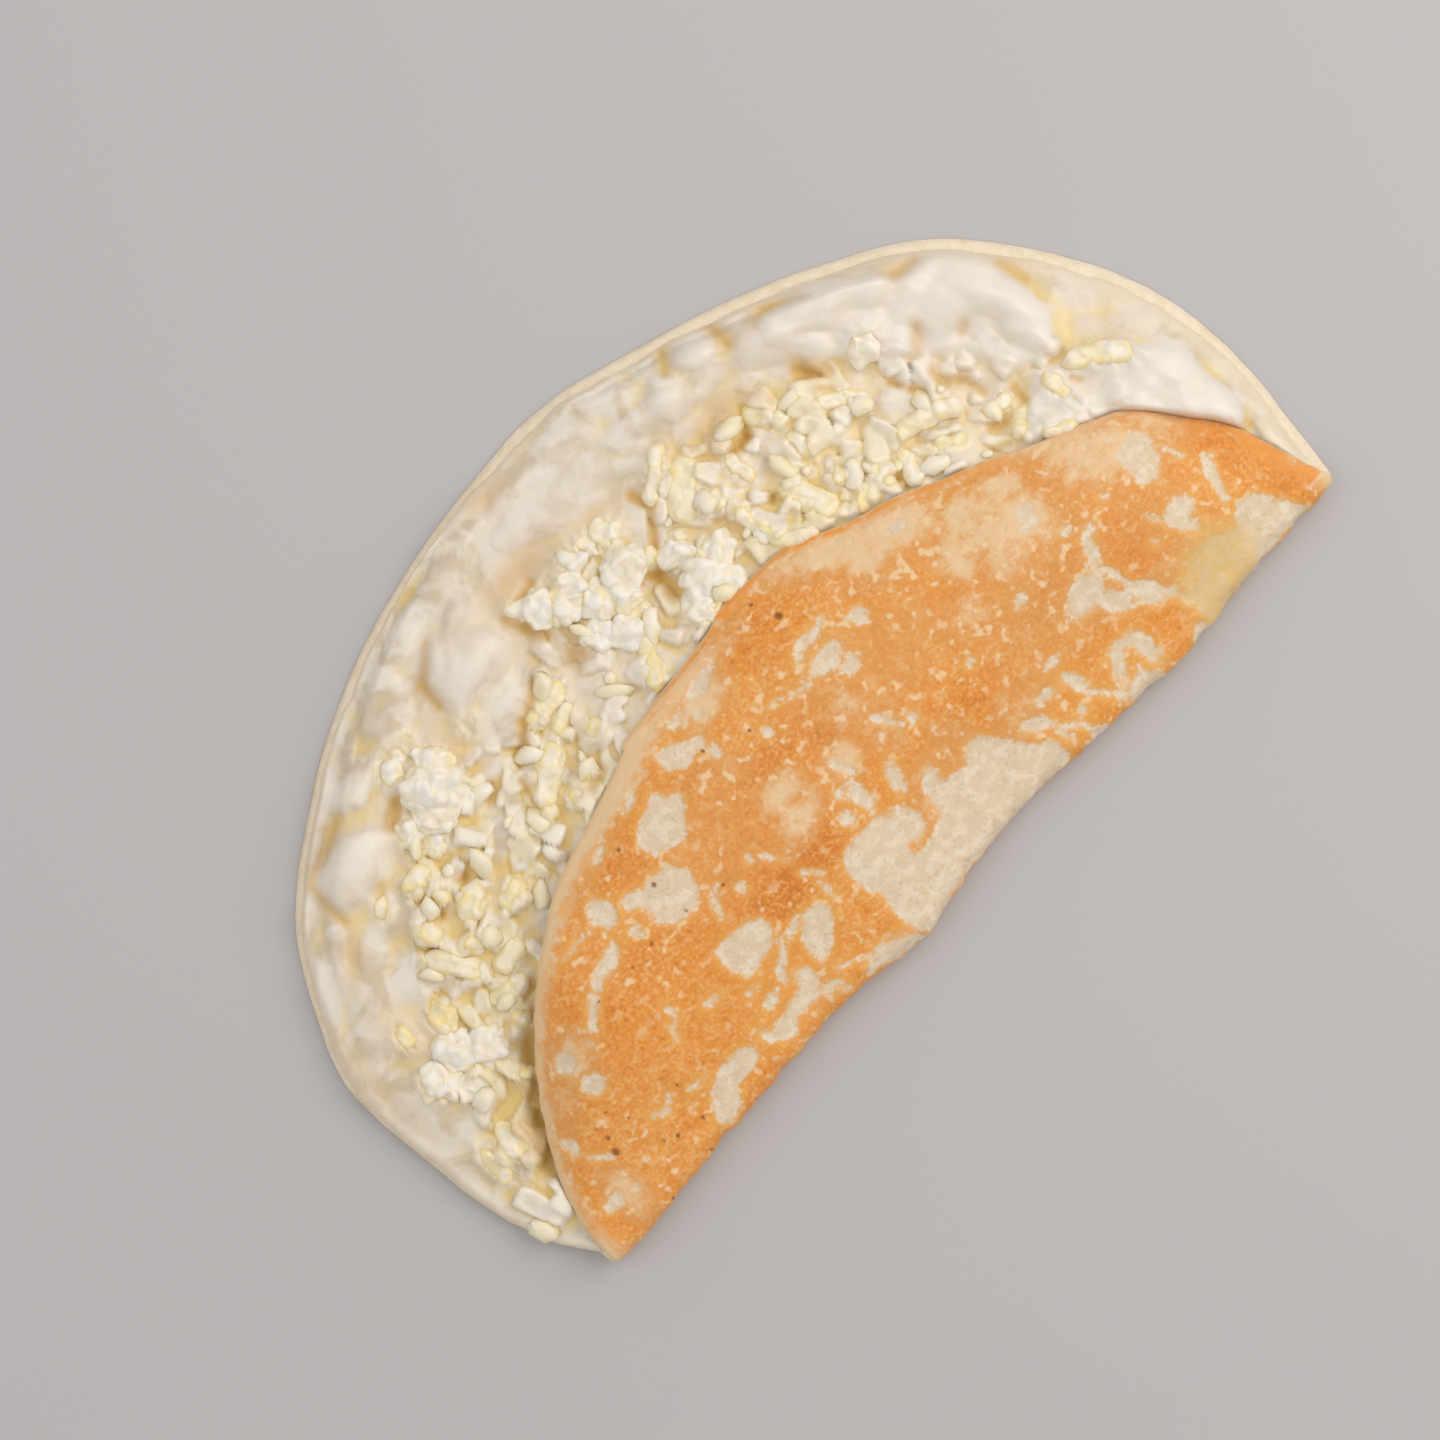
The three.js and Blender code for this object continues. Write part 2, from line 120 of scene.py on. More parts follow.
class BreadSettings(bpy.types.PropertyGroup):
    """Sizes and colours of the baked sheet."""

    thickness: bpy.props.FloatProperty(
        name="Thickness", description="Thickness of the sheet", default=SHEET_THICKNESS * MM,
        unit="LENGTH",
    )
    columns: bpy.props.IntProperty(
        name="Columns", description="Mesh steps along the fold", default=290, min=24
    )
    flap_rows: bpy.props.IntProperty(
        name="Flap rows", description="Mesh steps across the flap", default=98, min=8
    )
    fold_rows: bpy.props.IntProperty(
        name="Fold rows", description="Mesh steps round the fold", default=18, min=4
    )
    leaf_rows: bpy.props.IntProperty(
        name="Leaf rows", description="Mesh steps across the lower leaf", default=42, min=8
    )
    toast_dark: colour_property("Dark toast", "Colour of the strongest toasting", "#cf7a2c")
    toast_mid: colour_property("Toast", "Main toasted colour", "#e59540")
    toast_light: colour_property("Light toast", "Colour of light toasting", "#ebb069")
    halo: colour_property("Halo", "Yellow edge round an unbrowned spot", "#e6ab54")
    dough: colour_property("Dough", "Colour of unbrowned bread", "#dfc9ac")
    dough_white: colour_property("Floury dough", "Colour of the palest bread", "#ecdbc4")
    greasy: colour_property("Greasy dough", "Colour of bread soaked with fat", "#ddb66f")
    haze: colour_property("Haze", "Colour of softly paler toast", "#dc9c58")
    fleck: colour_property("Flecks", "Colour of untoasted flecks in the grain", "#f1d3a8")
    faint: colour_property("Faint toast", "Colour of barely toasted skin", "#e9cba1")
    rim: colour_property("Rim", "Colour of toast that fades out at the rim", "#e7cba2")
    cloudy: colour_property("Cloudy dough", "Colour of clouds in the unbrowned skin", "#d9c19a")
    speck: colour_property("Specks", "Colour of bran specks", "#b9935f")
    crumb: colour_property("Crumb", "Colour of the sheet's inner side", "#efe0c8")
    baked: colour_property("Baked crumb", "Colour of the drier inner side", "#ead7b8")
    edge_line: colour_property("Edge line", "Colour of the toasted line by the edge", "#e89a46")
    burnt: colour_property("Burnt", "Colour of the small burnt dots", "#7c4317")


class CheeseSettings(bpy.types.PropertyGroup):
    """Sizes and colours of the filling."""

    columns: bpy.props.IntProperty(
        name="Columns", description="Mesh steps along the layer", default=440, min=40
    )
    rows: bpy.props.IntProperty(
        name="Rows", description="Mesh steps across the layer", default=200, min=30
    )
    strand_voxel: bpy.props.FloatProperty(
        name="Strand voxel", description="Mesh size on strands", default=0.32 * MM, unit="LENGTH"
    )
    curd_voxel: bpy.props.FloatProperty(
        name="Curd voxel", description="Mesh size on curds", default=0.42 * MM, unit="LENGTH"
    )
    cream: colour_property("Melted", "Colour of melted cheese", "#d4c4ab")
    white: colour_property("Milky", "Colour of the milkier clouds in it", "#e8dfd2")
    # Painted highlight on the melted layer's crests; on strands and curds it only colours random
    # clouds.
    crest_highlight_and_cloud: colour_property("Raised", "Colour of cheese that stands up", "#f4ebdc")
    tan: colour_property("Thin", "Colour where the layer is thin", "#dab988")
    # Painted shade with fat: the yellow laid between the lumps of the melted layer.
    hollow: colour_property("Hollow", "Colour between the lumps", "#efd284")
    # Painted shade with fat, in the creases and along the flap's left edge.
    oil: colour_property("Oil", "Colour of fat in the creases", "#cfa24c")
    curd: colour_property("Curd", "Colour of curds", "#f0ebe1")
    strand: colour_property("Strand", "Colour of grated strands", "#f1e6c6")
    # Painted shade with fat round the foot of each strand and curd.
    foot: colour_property("Foot", "Colour of melted cheese beside a strand or curd", "#f1d9a0")
    thick: colour_property("Thick", "Colour where the layer stands thick", "#ede4d9")
    brink: colour_property("Brink", "Colour of the layer's outer edge", "#e9dac0")
    # Painted shade between the grains of a curd.
    grain_gap_shade: colour_property("Crack", "Colour between the grains of a curd", "#f0ddaa")
    # Fat and painted shade at the foot of each strand and curd.
    fat_and_shade: colour_property("Fat", "Colour of fat at the foot of a strand or curd", "#f4da88")


class StageSettings(bpy.types.PropertyGroup):
    """Floor, lights and camera."""

    floor: colour_property("Floor", "Colour of the floor", "#bdbabb")
    camera_height: bpy.props.FloatProperty(
        name="Camera height", description="Camera above the floor", default=0.95, unit="LENGTH"
    )
    view_width: bpy.props.FloatProperty(
        name="View width", description="Width of floor in view", default=0.3168, unit="LENGTH"
    )
    turn: bpy.props.FloatProperty(
        name="Turn", description="Turn of the view about the vertical",
        default=math.radians(-47.7), subtype="ANGLE",
    )
    room_light: bpy.props.FloatProperty(
        name="Room light", description="Strength of the even light", default=0.64, min=0
    )
    window_power: bpy.props.FloatProperty(
        name="Window", description="Power of the main soft light", default=4.35, unit="POWER"
    )
    fill_power: bpy.props.FloatProperty(
        name="Fill", description="Power of the light from the far side", default=1.2, unit="POWER"
    )


# ---- helpers: numbers -----------------------------------------------------------------------


def shift_to_part():
    """From the drawing's origin to the part's, in millimetres, read from the frame."""
    low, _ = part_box("flatbread")
    return np.array((low.x / MM - DRAWING_LEFT, low.y / MM - DRAWING_FRONT, 0.0))


SHIFT = shift_to_part()


def smoothstep(low, high, value):
    """Eases from 0 to 1 while value runs from low to high."""
    t = np.clip((value - low) / (high - low), 0, 1)
    return t * t * (3 - 2 * t)


def fading(distance, width):
    """1 at no distance, falling off softly over a width."""
    return np.exp(-((distance / width) ** 2))


def mix(a, b, t):
    """The value a share t of the way from a to b."""
    return a + (b - a) * t


def read_curve(pairs, at):
    """A smooth curve through (key, value) pairs, read at each key in at."""
    keys, values = np.array(pairs, float).T
    slopes = np.gradient(values, keys)
    i = np.clip(np.searchsorted(keys, at) - 1, 0, len(keys) - 2)
    span = keys[i + 1] - keys[i]
    t = np.clip((at - keys[i]) / span, 0, 1)
    rise = t * t * (3 - 2 * t)
    start = t * (1 - t) ** 2 * span * slopes[i]
    stop = t * t * (t - 1) * span * slopes[i + 1]
    return mix(values[i], values[i + 1], rise) + start + stop


def ripple(x, y, z, size, octaves=1):
    """Soft noise of about -1..1 with features of the given size, at points in millimetres."""
    axes = np.broadcast_arrays(x, y, z)
    places = zip(*[axis.ravel() / size for axis in axes])
    values = [noise.fractal(place, 0.9, 2.1, octaves) for place in places]
    return np.array(values).reshape(axes[0].shape)


def warp(x, y, z, size, reach):
    """Soft random shifts in three directions, up to about reach, for points in millimetres."""
    offsets = ((31, 0, 0), (0, 47, 0), (0, 0, 59))
    return [reach * ripple(x + a, y + b, z + c, size, 2) for a, b, c in offsets]


def ellipse_distance(x, y, spot):
    """Rough distance in millimetres outside (+) or inside (-) a turned ellipse."""
    cx, cy, half_x, half_y, turn = spot
    c, s = math.cos(math.radians(turn)), math.sin(math.radians(turn))
    along = ((x - cx) * c + (y - cy) * s) / half_x
    aside = ((y - cy) * c - (x - cx) * s) / half_y
    return (np.hypot(along, aside) - 1) * min(half_x, half_y)


def line_distance(x, y, x0, y0, x1, y1):
    """Distance in millimetres from a straight stretch."""
    run = np.array((x1 - x0, y1 - y0), float)
    t = np.clip(((x - x0) * run[0] + (y - y0) * run[1]) / (run @ run), 0, 1)
    return np.hypot(x - x0 - t * run[0], y - y0 - t * run[1])


def outline_distance(x, y, outline):
    """Distance in millimetres outside (+) or inside (-) a closed outline."""
    nearest = np.full(np.shape(x), 1e3)
    inside = np.zeros(np.shape(x), bool)
    for (x0, y0), (x1, y1) in zip(outline, outline[1:] + outline[:1]):
        nearest = np.minimum(nearest, line_distance(x, y, x0, y0, x1, y1))
        crosses = (y0 > y) != (y1 > y)
        inside ^= crosses & (x < x0 + (x1 - x0) * (y - y0) / (y1 - y0 if y1 != y0 else 1))
    return np.where(inside, -nearest, nearest)


def area_field(x, y, areas, core, falloff):
    """Strength of the strongest of several soft areas: x, y, half-widths, turn, strength."""
    field = np.zeros_like(x)
    for *area, strength in areas:
        outside = ellipse_distance(x, y, area) / min(area[2], area[3])
        reach = np.clip(outside + core, 0, None)
        field = np.maximum(field, strength * np.exp(-falloff * reach**2))
    return field


# Distances beyond which a spot's depth or a gap no longer counts.
SPOT_RANGE = -8, 12


def nearest_of(distances):
    """The smallest of several distance fields, with soft joins."""
    softness = 0.5
    total = sum(np.exp(-np.clip(d, *SPOT_RANGE) / softness) for d in distances)
    return -softness * np.log(total)


# ---- helpers: meshes ------------------------------------------------------------------------


def new_object(name, data):
    """An object in the scene for a mesh, a light or a camera."""
    made = bpy.data.objects.new(name, data)
    bpy.context.scene.collection.objects.link(made)
    return made


def store_values(mesh, label, values):
    """Stores a number at each vertex, for a material or a node tree to read."""
    layer = mesh.attributes.new(label, "FLOAT", "POINT")
    layer.data.foreach_set("value", np.asarray(values, np.float32).ravel())


def read_vectors(items, field):
    """One vector of each of a mesh's items, as the rows of an array."""
    values = np.zeros(len(items) * 3)
    items.foreach_get(field, values)
    return values.reshape(-1, 3)


def apply_modifiers(piece):
    """Turns a piece and its modifiers into one plain mesh."""
    bpy.context.view_layer.update()
    evaluated = piece.evaluated_get(bpy.context.evaluated_depsgraph_get())
    mesh = bpy.data.meshes.new_from_object(evaluated)
    piece.modifiers.clear()
    piece.data = mesh
    mesh.name = piece.name
    return piece


def make_piece(name, points, faces, attributes):
    """A mesh object from points in millimetres on the drawing, placed in the part's own frame."""
    mesh = bpy.data.meshes.new(name)
    placed = (np.asarray(points, float).reshape(-1, 3) + SHIFT) * MM
    mesh.from_pydata(placed.tolist(), [], faces)
    for label, values in attributes.items():
        store_values(mesh, label, values)
    mesh.shade_smooth()
    mesh.update()
    return new_object(name, mesh)


def grid_faces(rows, columns, start=0, flip=False):
    """Quads of a grid of (rows + 1) x (columns + 1) points."""
    faces = []
    for r in range(rows):
        for c in range(columns):
            a = start + r * (columns + 1) + c
            b = a + columns + 1
            faces.append((a, b, b + 1, a + 1) if flip else (a, a + 1, b + 1, b))
    return faces


def border_loop(rows, columns):
    """Point numbers round the border of such a grid, anticlockwise seen from its front."""
    step = columns + 1
    bottom = list(range(0, columns))
    right = [r * step + columns for r in range(0, rows)]
    top = [rows * step + c for c in range(columns, 0, -1)]
    left = [r * step for r in range(rows, 0, -1)]
    return bottom + right + top + left


def band_faces(lower, upper):
    """Quads between two closed loops of equal length."""
    count = len(lower)
    return [
        (lower[i], lower[(i + 1) % count], upper[(i + 1) % count], upper[i]) for i in range(count)
    ]


def ease_ends(t, amount=0.55):
    """Spreads even 0..1 steps so that they are shorter near both ends."""
    return mix(t, 0.5 - 0.5 * np.cos(np.pi * t), amount)


# ---- helpers: materials ---------------------------------------------------------------------


def linear(hex_colour):
    """Linear RGBA from an sRGB hex colour."""
    channels = [int(hex_colour[i : i + 2], 16) / 255 for i in (1, 3, 5)]
    rgb = [c / 12.92 if c <= 0.04045 else ((c + 0.055) / 1.055) ** 2.4 for c in channels]
    return (*rgb, 1.0)


# Sockets of a Mix node that mixes colours: the colour below, the colour above and the result.
MIX_BELOW, MIX_ABOVE, MIX_RESULT = 6, 7, 2


def add_node(tree, kind, inputs=None, output=0, **fields):
    """Adds a node, sets its fields, feeds its inputs with values or other nodes' outputs, and
    gives back one of its outputs."""
    node = tree.nodes.new(kind)
    for field, value in fields.items():
        setattr(node, field, value)
    for socket, value in (inputs or {}).items():
        if isinstance(value, bpy.types.NodeSocket):
            tree.links.new(value, node.inputs[socket])
        else:
            node.inputs[socket].default_value = value
    return node.outputs[output] if node.outputs else None


def new_material(name):
    """A material with an empty node tree."""
    material = bpy.data.materials.new(name)
    material.use_nodes = True
    material.node_tree.nodes.clear()
    return material, material.node_tree


def millimetre_coordinates(tree):
    """Object coordinates counted in millimetres."""
    metres = add_node(tree, "ShaderNodeTexCoord", output="Object")
    return add_node(tree, "ShaderNodeVectorMath", {0: metres, "Scale": 1 / MM}, operation="SCALE")


# ---- the baked sheet ------------------------------------------------------------------------

# Unbrowned spots on the toasted side: x, y, half-widths, turn.
PALE_SPOTS = (
    (-23, -2.6, 3.8, 3, -35), (-17.5, -4, 2.4, 1.6, -20), (-16.5, -8, 1.3, 2, 10),
    (-45.6, -21.6, 6.4, 5.6, 0), (-52.4, -16.2, 2, 1.8, 0), (-50.4, -18, 2, 1.8, 0),
    (-58.5, -13.6, 2.7, 3.6, 0), (-56.4, -21.4, 1.5, 1.2, -40), (-46, -41.5, 3, 4.6, 10),
    (-40.5, -41, 4.4, 4, 20), (-44.5, -37.4, 3, 1.2, 0), (-31.4, -51, 3.2, 4.6, -30),
    (-28, -48.4, 3.4, 3, 30), (-33, -45.4, 2.6, 0.9, 10), (-88, -29.6, 2.4, 2.2, 20),
    (-87, -37, 2.6, 2.2, -35), (-64, -21.2, 3, 1.5, 20), (-66.5, -58, 6.4, 3.4, 12),
    (-71.5, -62, 4.2, 2.8, 30), (-61, -57.4, 2.6, 3, 0), (-50, -60, 4.4, 3.2, 10),
    (-43.5, -59, 4, 3.4, 0), (-39.6, -56, 2.2, 3.4, -20), (-38, -61.4, 2.6, 1.8, -30),
    (-54.4, -56.6, 1, 2, 15), (-22.6, -64.4, 4.4, 2.4, 0), (-18.6, -65.4, 3, 2, 0),
    (-9.5, -50, 7, 7.6, 0), (-13, -46, 3.8, 2.4, 0), (-6, -45, 5, 2.6, 0), (0, -49, 3.6, 4.4, 0),
    (-9, -60, 7, 8, 0), (0, -61, 9, 6, 0), (12, -60, 12, 8, 0), (22, -59, 9, 10, 25),
    (22.5, -51, 4, 4.6, 0), (13, -52.4, 5, 3.6, 20), (30.5, -63, 5, 5, 30),
    (10, -47, 2, 4.6, -35), (-2.4, -37.4, 1.7, 4.2, 0), (-8, -38, 1.7, 1.6, 0),
    (5.6, -40, 1.8, 3.6, -20), (-5.4, -33.4, 0.9, 1, 0), (16, -6.6, 4, 1.2, 10),
    (14.4, -12.2, 4.8, 2.3, 5), (17.4, -16.8, 2.6, 1.6, 10), (26, -11, 1.8, 2, 30),
    (45.4, -4.2, 2.4, 1.4, -30), (66.6, -23, 2, 2.4, 20), (64, -25, 1.6, 1, 0),
    (70, -38.4, 1.5, 3.6, -35), (62, -43.6, 5.4, 3.2, 15), (66, -49.4, 2.4, 4, 25),
    (72.4, -53.6, 2.8, 3.4, 20), (90, -46.4, 3.6, 2.8, 0), (88.6, -49.4, 2.2, 1.4, -45),
    (34.6, -54.8, 3.4, 1.7, -30), (41, -52.2, 2.6, 1.2, -15), (47.4, -48.4, 2.2, 1, 0),
    (47.4, -54.6, 1.5, 3.2, 25), (44, -60.4, 1.3, 0.8, 0), (37.8, -61.4, 1.2, 2, 0),
    (43.4, -66.6, 2.4, 1.6, -20), (57, -65.6, 4.6, 3, 0), (56.4, -59.6, 1.6, 3.4, -40),
    (63.4, -60.4, 2.2, 3.6, 0), (60, -56.8, 3, 1.3, 0), (74.4, -66.6, 2.6, 2.6, 0),
    (87, -61.6, 9, 6.4, 0), (94, -63, 10, 5, 0), (101, -59.6, 4.8, 4.4, -40),
    (105.4, -64.4, 5, 3, -35), (-101, -42.6, 1.5, 2, 0), (-103.6, -57.4, 2.4, 1.6, 0),
    (-98, -58.6, 0.9, 0.9, 0), (-81, -30.4, 0.7, 0.8, 0), (-64, -38, 0.8, 1.5, 0),
    (-56.8, -43, 1.5, 0.8, -10), (-49.4, -48, 1.3, 0.7, 0), (-48, -52.6, 2.4, 1.2, 10),
    (-34.2, -31.6, 1, 1.1, 0), (-28.4, -28.4, 1.1, 0.9, 30), (-5.8, -13.4, 1, 1.1, 0),
    (0.4, -10.4, 1, 0.6, 0), (6, -12.8, 1.6, 0.8, 0), (69.4, -31.4, 1.1, 1, 0),
    (80.6, -33, 0.9, 0.8, 0), (81.4, -47, 1.1, 0.7, -20), (-12.6, -0.4, 0.8, 0.9, 0),
    (-17, 2.4, 2.2, 1.2, -10), (-37, -1.8, 2.2, 1, 20), (-8, 4, 4.4, 1.6, 10),
    (-50, -4.6, 2, 0.9, 15), (-68.4, -14.2, 3, 0.7, 0), (35, -35.4, 1, 0.7, 0),
    (52, -34.4, 1.8, 1.2, 20), (18, -34, 1.2, 1.3, -30),
)
# Larger unbrowned patches with corners, as outlines of (x, y) points.
PALE_PATCHES = (
    ((-42.8, -9.6), (-40, -7), (-32.6, -4), (-28, -9.6), (-34.6, -16.2), (-41.6, -13.4)),
    ((89, -29.4), (95, -27.6), (97.4, -31), (95.4, -36), (91.6, -39.4), (88, -36.4)),
)
# Narrow unbrowned streaks: from x, y to x, y, width.
PALE_STREAKS = (
    (-78, -28.4, -74.4, -25.2, 1.8), (-74.4, -25.2, -70, -23, 1.5), (-70, -23, -65, -21.6, 1.8),
    (-43, -52, -42, -49.6, 1.5), (-42, -49.6, -37.8, -46.8, 1.7), (-41.8, -32.6, -40, -29, 1.1),
    (-40, -29, -37.8, -27.4, 1.1), (-83.6, -50, -81, -52, 1.2), (-81, -52, -78.2, -49.8, 1.2),
    (-99.4, -47.4, -96.4, -49.8, 1.2), (-67.8, -43.4, -66.4, -40, 1.1),
    (-33, -59.2, -29, -61.4, 1.3), (-36.4, -62, -34.6, -64.6, 1.2),
    (102, -43.8, 100.6, -46.4, 1.8), (100.6, -46.4, 98.8, -51.8, 2), (102, -43.8, 104, -44.2, 1),
    (97.8, -36, 99.2, -39.4, 1.1), (69.4, -43, 70.6, -50, 1.3), (70.6, -50, 76, -57, 1.4),
    (76, -57, 79, -66, 1.5), (12, -28, 14.6, -32.6, 1.4), (-26, -30.4, -22.6, -35, 0.9),
    (-22, -43.4, -22, -47.6, 1), (-20, -42, -23, -39, 0.9), (0.4, -32, -1, -28, 1.6),
    (40, -60.6, 44.6, -67, 0.9), (84, -42.6, 86.4, -46.6, 1.2), (10.4, -8.4, 13.4, -5.4, 1.3),
    (-70, -53, -74, -52.6, 1), (52, -63, 47.6, -58.6, 1), (88.4, -49.6, 90, -52.4, 1.1),
    (75, -34.6, 70.6, -36.4, 1.2), (-29, -65.4, -24, -62.6, 1.3),
)
# Width of the unbrowned band along the flap's free edge, as (x, width) pairs.
PALE_RIM = (
    (-116, 1.2), (-105, 2), (-90, 2.2), (-75, 2.8), (-60, 3.6), (-48, 5), (-38, 5), (-25, 4.6),
    (-14, 4), (-4, 2.6), (5, 0.4), (25, 0.3), (33, 1.4), (45, 1.2), (60, 0.5), (75, 0.9),
    (90, 0.5), (105, 0.2), (120, 0.2),
)
# Softly paler areas, and more strongly toasted ones: x, y, half-widths, turn, strength.
FAINT_AREAS = (
    (36, -4.4, 4, 3, -20, 0.8), (43, -3.4, 5.4, 3.4, -10, 1), (49.5, -5, 4, 2.6, -30, 0.9),
    (58, -12.6, 3.2, 2.8, 0, 0.9), (49.4, -18.6, 3, 4, 0, 0.9), (66, -23.4, 4.6, 5, 20, 0.9),
    (67, -15.6, 5, 3, -25, 0.8), (60, -20, 13, 7.5, -40, 0.7), (56, -36, 20, 14, -10, 0.22),
    (20, -20, 26, 12, -10, 0.2), (-30, -20, 20, 14, 10, 0.18), (85, -40, 12, 12, 0, 0.18),
    (-13, -24, 5, 3, 0, 0.75), (-15, -30.6, 6, 3.6, 10, 0.7), (1, -29, 4, 3.6, 0, 0.7),
    (9.6, -22, 4.6, 4, 0, 0.5), (42, -28, 5.4, 4, 0, 0.45), (59, -25.6, 7, 5.6, 0, 0.6),
    (37, -0.6, 19, 3.6, -30, 0.85), (12, -30, 4, 6, -20, 0.4), (-18, -12, 7, 3, -30, 0.3),
    (63, -45, 8, 6, 0, 0.3), (34, -20, 4, 4, 0, 0.25), (87, -25.5, 12, 6, -38, 0.8),
    (8, -50, 5, 9, -30, 0.4), (40, -48, 8, 3, 0, 0.3), (-95, -36, 3, 6, -40, 0.35),
    (-50, -4, 12, 2.4, 18, 0.3), (101, -31, 8, 3, -52, 0.6), (80, -52, 10, 3, 10, 0.25),
    (-8, 6, 12, 3, 5, 0.6), (-10, 1, 6, 3.4, 10, 0.75), (35, -8, 8, 4, -30, 0.3),
    (-100, -58, 3.6, 6, 0, 0.6), (-86, -30, 5, 4, 30, 0.6), (35, -50, 6, 5, 0, 0.4),
    (20, -44, 5, 6, 0, 0.3), (-40, -60, 6, 4, 0, 0.3),
)
DARK_AREAS = (
    (-25, -38.6, 15, 5.4, 4, 0.9), (2, -23, 5, 3.6, 0, 0.9), (-8, -18, 14, 4, 0, 0.5),
    (12, 4, 12, 5, -5, 0.35), (-60, -27, 18, 7, 10, 0.35), (-34, -29, 10, 6, 0, 0.45),
    (56, -36.6, 10, 3.2, 6, 0.5), (27, -40, 12, 3.6, 5, 0.35), (60, -17, 8, 3, 0, 0.3),
    (108, -44, 5, 9, 25, 0.55), (112, -58, 3, 8, 10, 0.6), (80, -42, 9, 8, 0, 0.3),
    (-52, -9.6, 12, 4, 12, 0.3), (-22, -8.6, 3.4, 2.6, -30, 0.45), (90, -22, 7, 2.4, -32, 0.4),
    (32, -8.4, 2.4, 2.2, -30, 0.5), (6, -46, 2, 6, 15, 0.4), (36, -46, 6, 2, 5, 0.4),
)
# Small burnt dots: x, y, radius.
BURNT_DOTS = (
    (-95, -49.8, 0.85), (-93.8, -46.4, 0.6), (-86.2, -55.7, 0.55), (-83.4, -57.4, 0.6),
    (-77, -59, 0.6), (-75.2, -49.8, 0.5), (-89.8, -42.8, 0.45), (-93, -61.6, 0.5),
    (-90.8, -41, 0.4), (-36.4, -28.2, 0.5), (-8, -10.6, 0.5), (-46.4, -17.6, 0.6),
    (-45.8, -26, 0.5), (14.6, 1.2, 0.8), (-73, -25.8, 0.4), (-87.4, -46.6, 0.4),
    (-95.4, -61.4, 0.4), (-56, -25.4, 0.5), (-62.6, -26, 0.5), (-46, -7.2, 0.5),
    (1.6, -21.4, 0.5), (-18, -6.2, 0.5), (-94.6, -66, 0.5), (-81, -66, 0.5), (12.4, 7.4, 0.5),
)
# A greasy spot on the toasted side: x, y, half-widths, turn; and how softly it fades out.
GREASE_SPOT = (86.5, -60.5, 8.5, 6.5, 20)
GREASE_FADE = 2.4
# The underside: width of its unbrowned band, how many unbrowned spots, over which x and y of the
# unrolled sheet and of which half-widths, share of the relief it keeps, and its gap to the floor.
UNDERSIDE_RIM = 2.6
UNDERSIDE_SPOTS = 70
UNDERSIDE_FIELD = (-115, 115), (-205, -88)
UNDERSIDE_SIZES = 1.2, 6.5
UNDERSIDE_RELIEF = 0.35
FLOOR_GAP = 0.02
# Depth of an unbrowned spot, height of the skin's grain, how far the rim's wall swells, and the
# crinkles by the fold: height, how far across it they reach, how many times longer along it.
SPOT_DEPTH = 0.42
GRAIN_HEIGHT = 0.12
WALL_BULGE = 0.3
CRINKLE_HEIGHT = 0.35
CRINKLE_REACH = 7
CRINKLE_STRETCH = 2.2
# The rim's rounding: how far in it starts, and the share of the thickness left at its edge.
ROUNDING = 1.8
ROUNDED_SHARE = 0.35
# The flap sinks towards both ends of the fold, from and to these x; its free edge stands this high
# at the ends and in the middle, and a little higher at left; its waves have a height, a place in
# the noise and a size.
FLAP_LEFT_END = -118, -70
FLAP_RIGHT_END = 124, 78
EDGE_RISE = -1.2, 4.6
LEFT_LIFT = 1.6
FLAP_WAVES = ((0.55, 0, 26), (0.28, 9, 9))
# How far the sheet's outline and its crease wander, and a distance beyond every rim.
RAGGED_EDGE = 0.35
RAGGED_CREASE = 0.5
NO_RIM = 99.0


def flap_rise(x, t):
    """Height of the flap's middle above the fold; t is 0 at the fold and 1 at the free edge."""
    ends = smoothstep(*FLAP_LEFT_END, x) * smoothstep(*FLAP_RIGHT_END, x)
    arch = np.sin(np.pi * np.clip(t, 0, 1) ** 1.05)
    hump = HUMP_HEIGHT * ends * np.clip(arch, 0, 1) ** 1.15
    edge = mix(*EDGE_RISE, ends) + LEFT_LIFT * smoothstep(-50, -80, x) * ends
    return hump + edge * smoothstep(0, 1, t)


def across_flap(x, y):
    """How far across the flap a point lies: 0 at the fold, 1 at the free edge."""
    return (y - FLAP_START) / np.maximum(4, read_curve(FLAP_EDGE, x) - FLAP_START)


def flap_middle(x, y, thickness):
    """Height of the middle of the flap's thickness, with its soft waves."""
    waves = sum(height * ripple(x, y, place, size, 2) for height, place, size in FLAP_WAVES)
    return 2 * FOLD_RADIUS - thickness / 2 + flap_rise(x, across_flap(x, y)) + waves


def half_thickness(rim, thickness):
    """Half the thickness of the sheet at a distance from its rim, which is rounded off."""
    taper = mix(RIM_THICKNESS, thickness, smoothstep(0, RIM_WIDTH, rim)) / 2
    curve = np.sqrt(1 - (1 - np.clip(rim / ROUNDING, 0, 1)) ** 2)
    return taper * mix(ROUNDED_SHARE, 1, curve)


def sheet_rows(settings):
    """Position of each mesh row along the sheet: 0..1 flap, 1..2 fold, 2..3 leaf."""
    flap = np.linspace(0, 1, settings.flap_rows + 1)[:-1]
    fold = np.linspace(1, 2, settings.fold_rows + 1)[:-1]
    leaf = np.linspace(2, 3, settings.leaf_rows + 1)
    return np.concatenate((flap, fold, leaf))


def row_height(t, top):
    """y of a row at 0..1 from the fold to the rim, closer together near the rim."""
    return FLAP_START + (top - FLAP_START) * mix(t, np.sin(t * np.pi / 2), 0.75)


def row_ends(left_curve, right_curve, y):
    """Both ends of a row at y, and for each how much nearer the slanting outline really is."""
    ends, leans = [], []
    for curve in (left_curve, right_curve):
        low, here, high = read_curve(curve, np.array((y - 0.5, y, y + 0.5)))
        ends.append(here)
        leans.append(1 / math.hypot(1, high - low))
    return np.array(ends + leans)


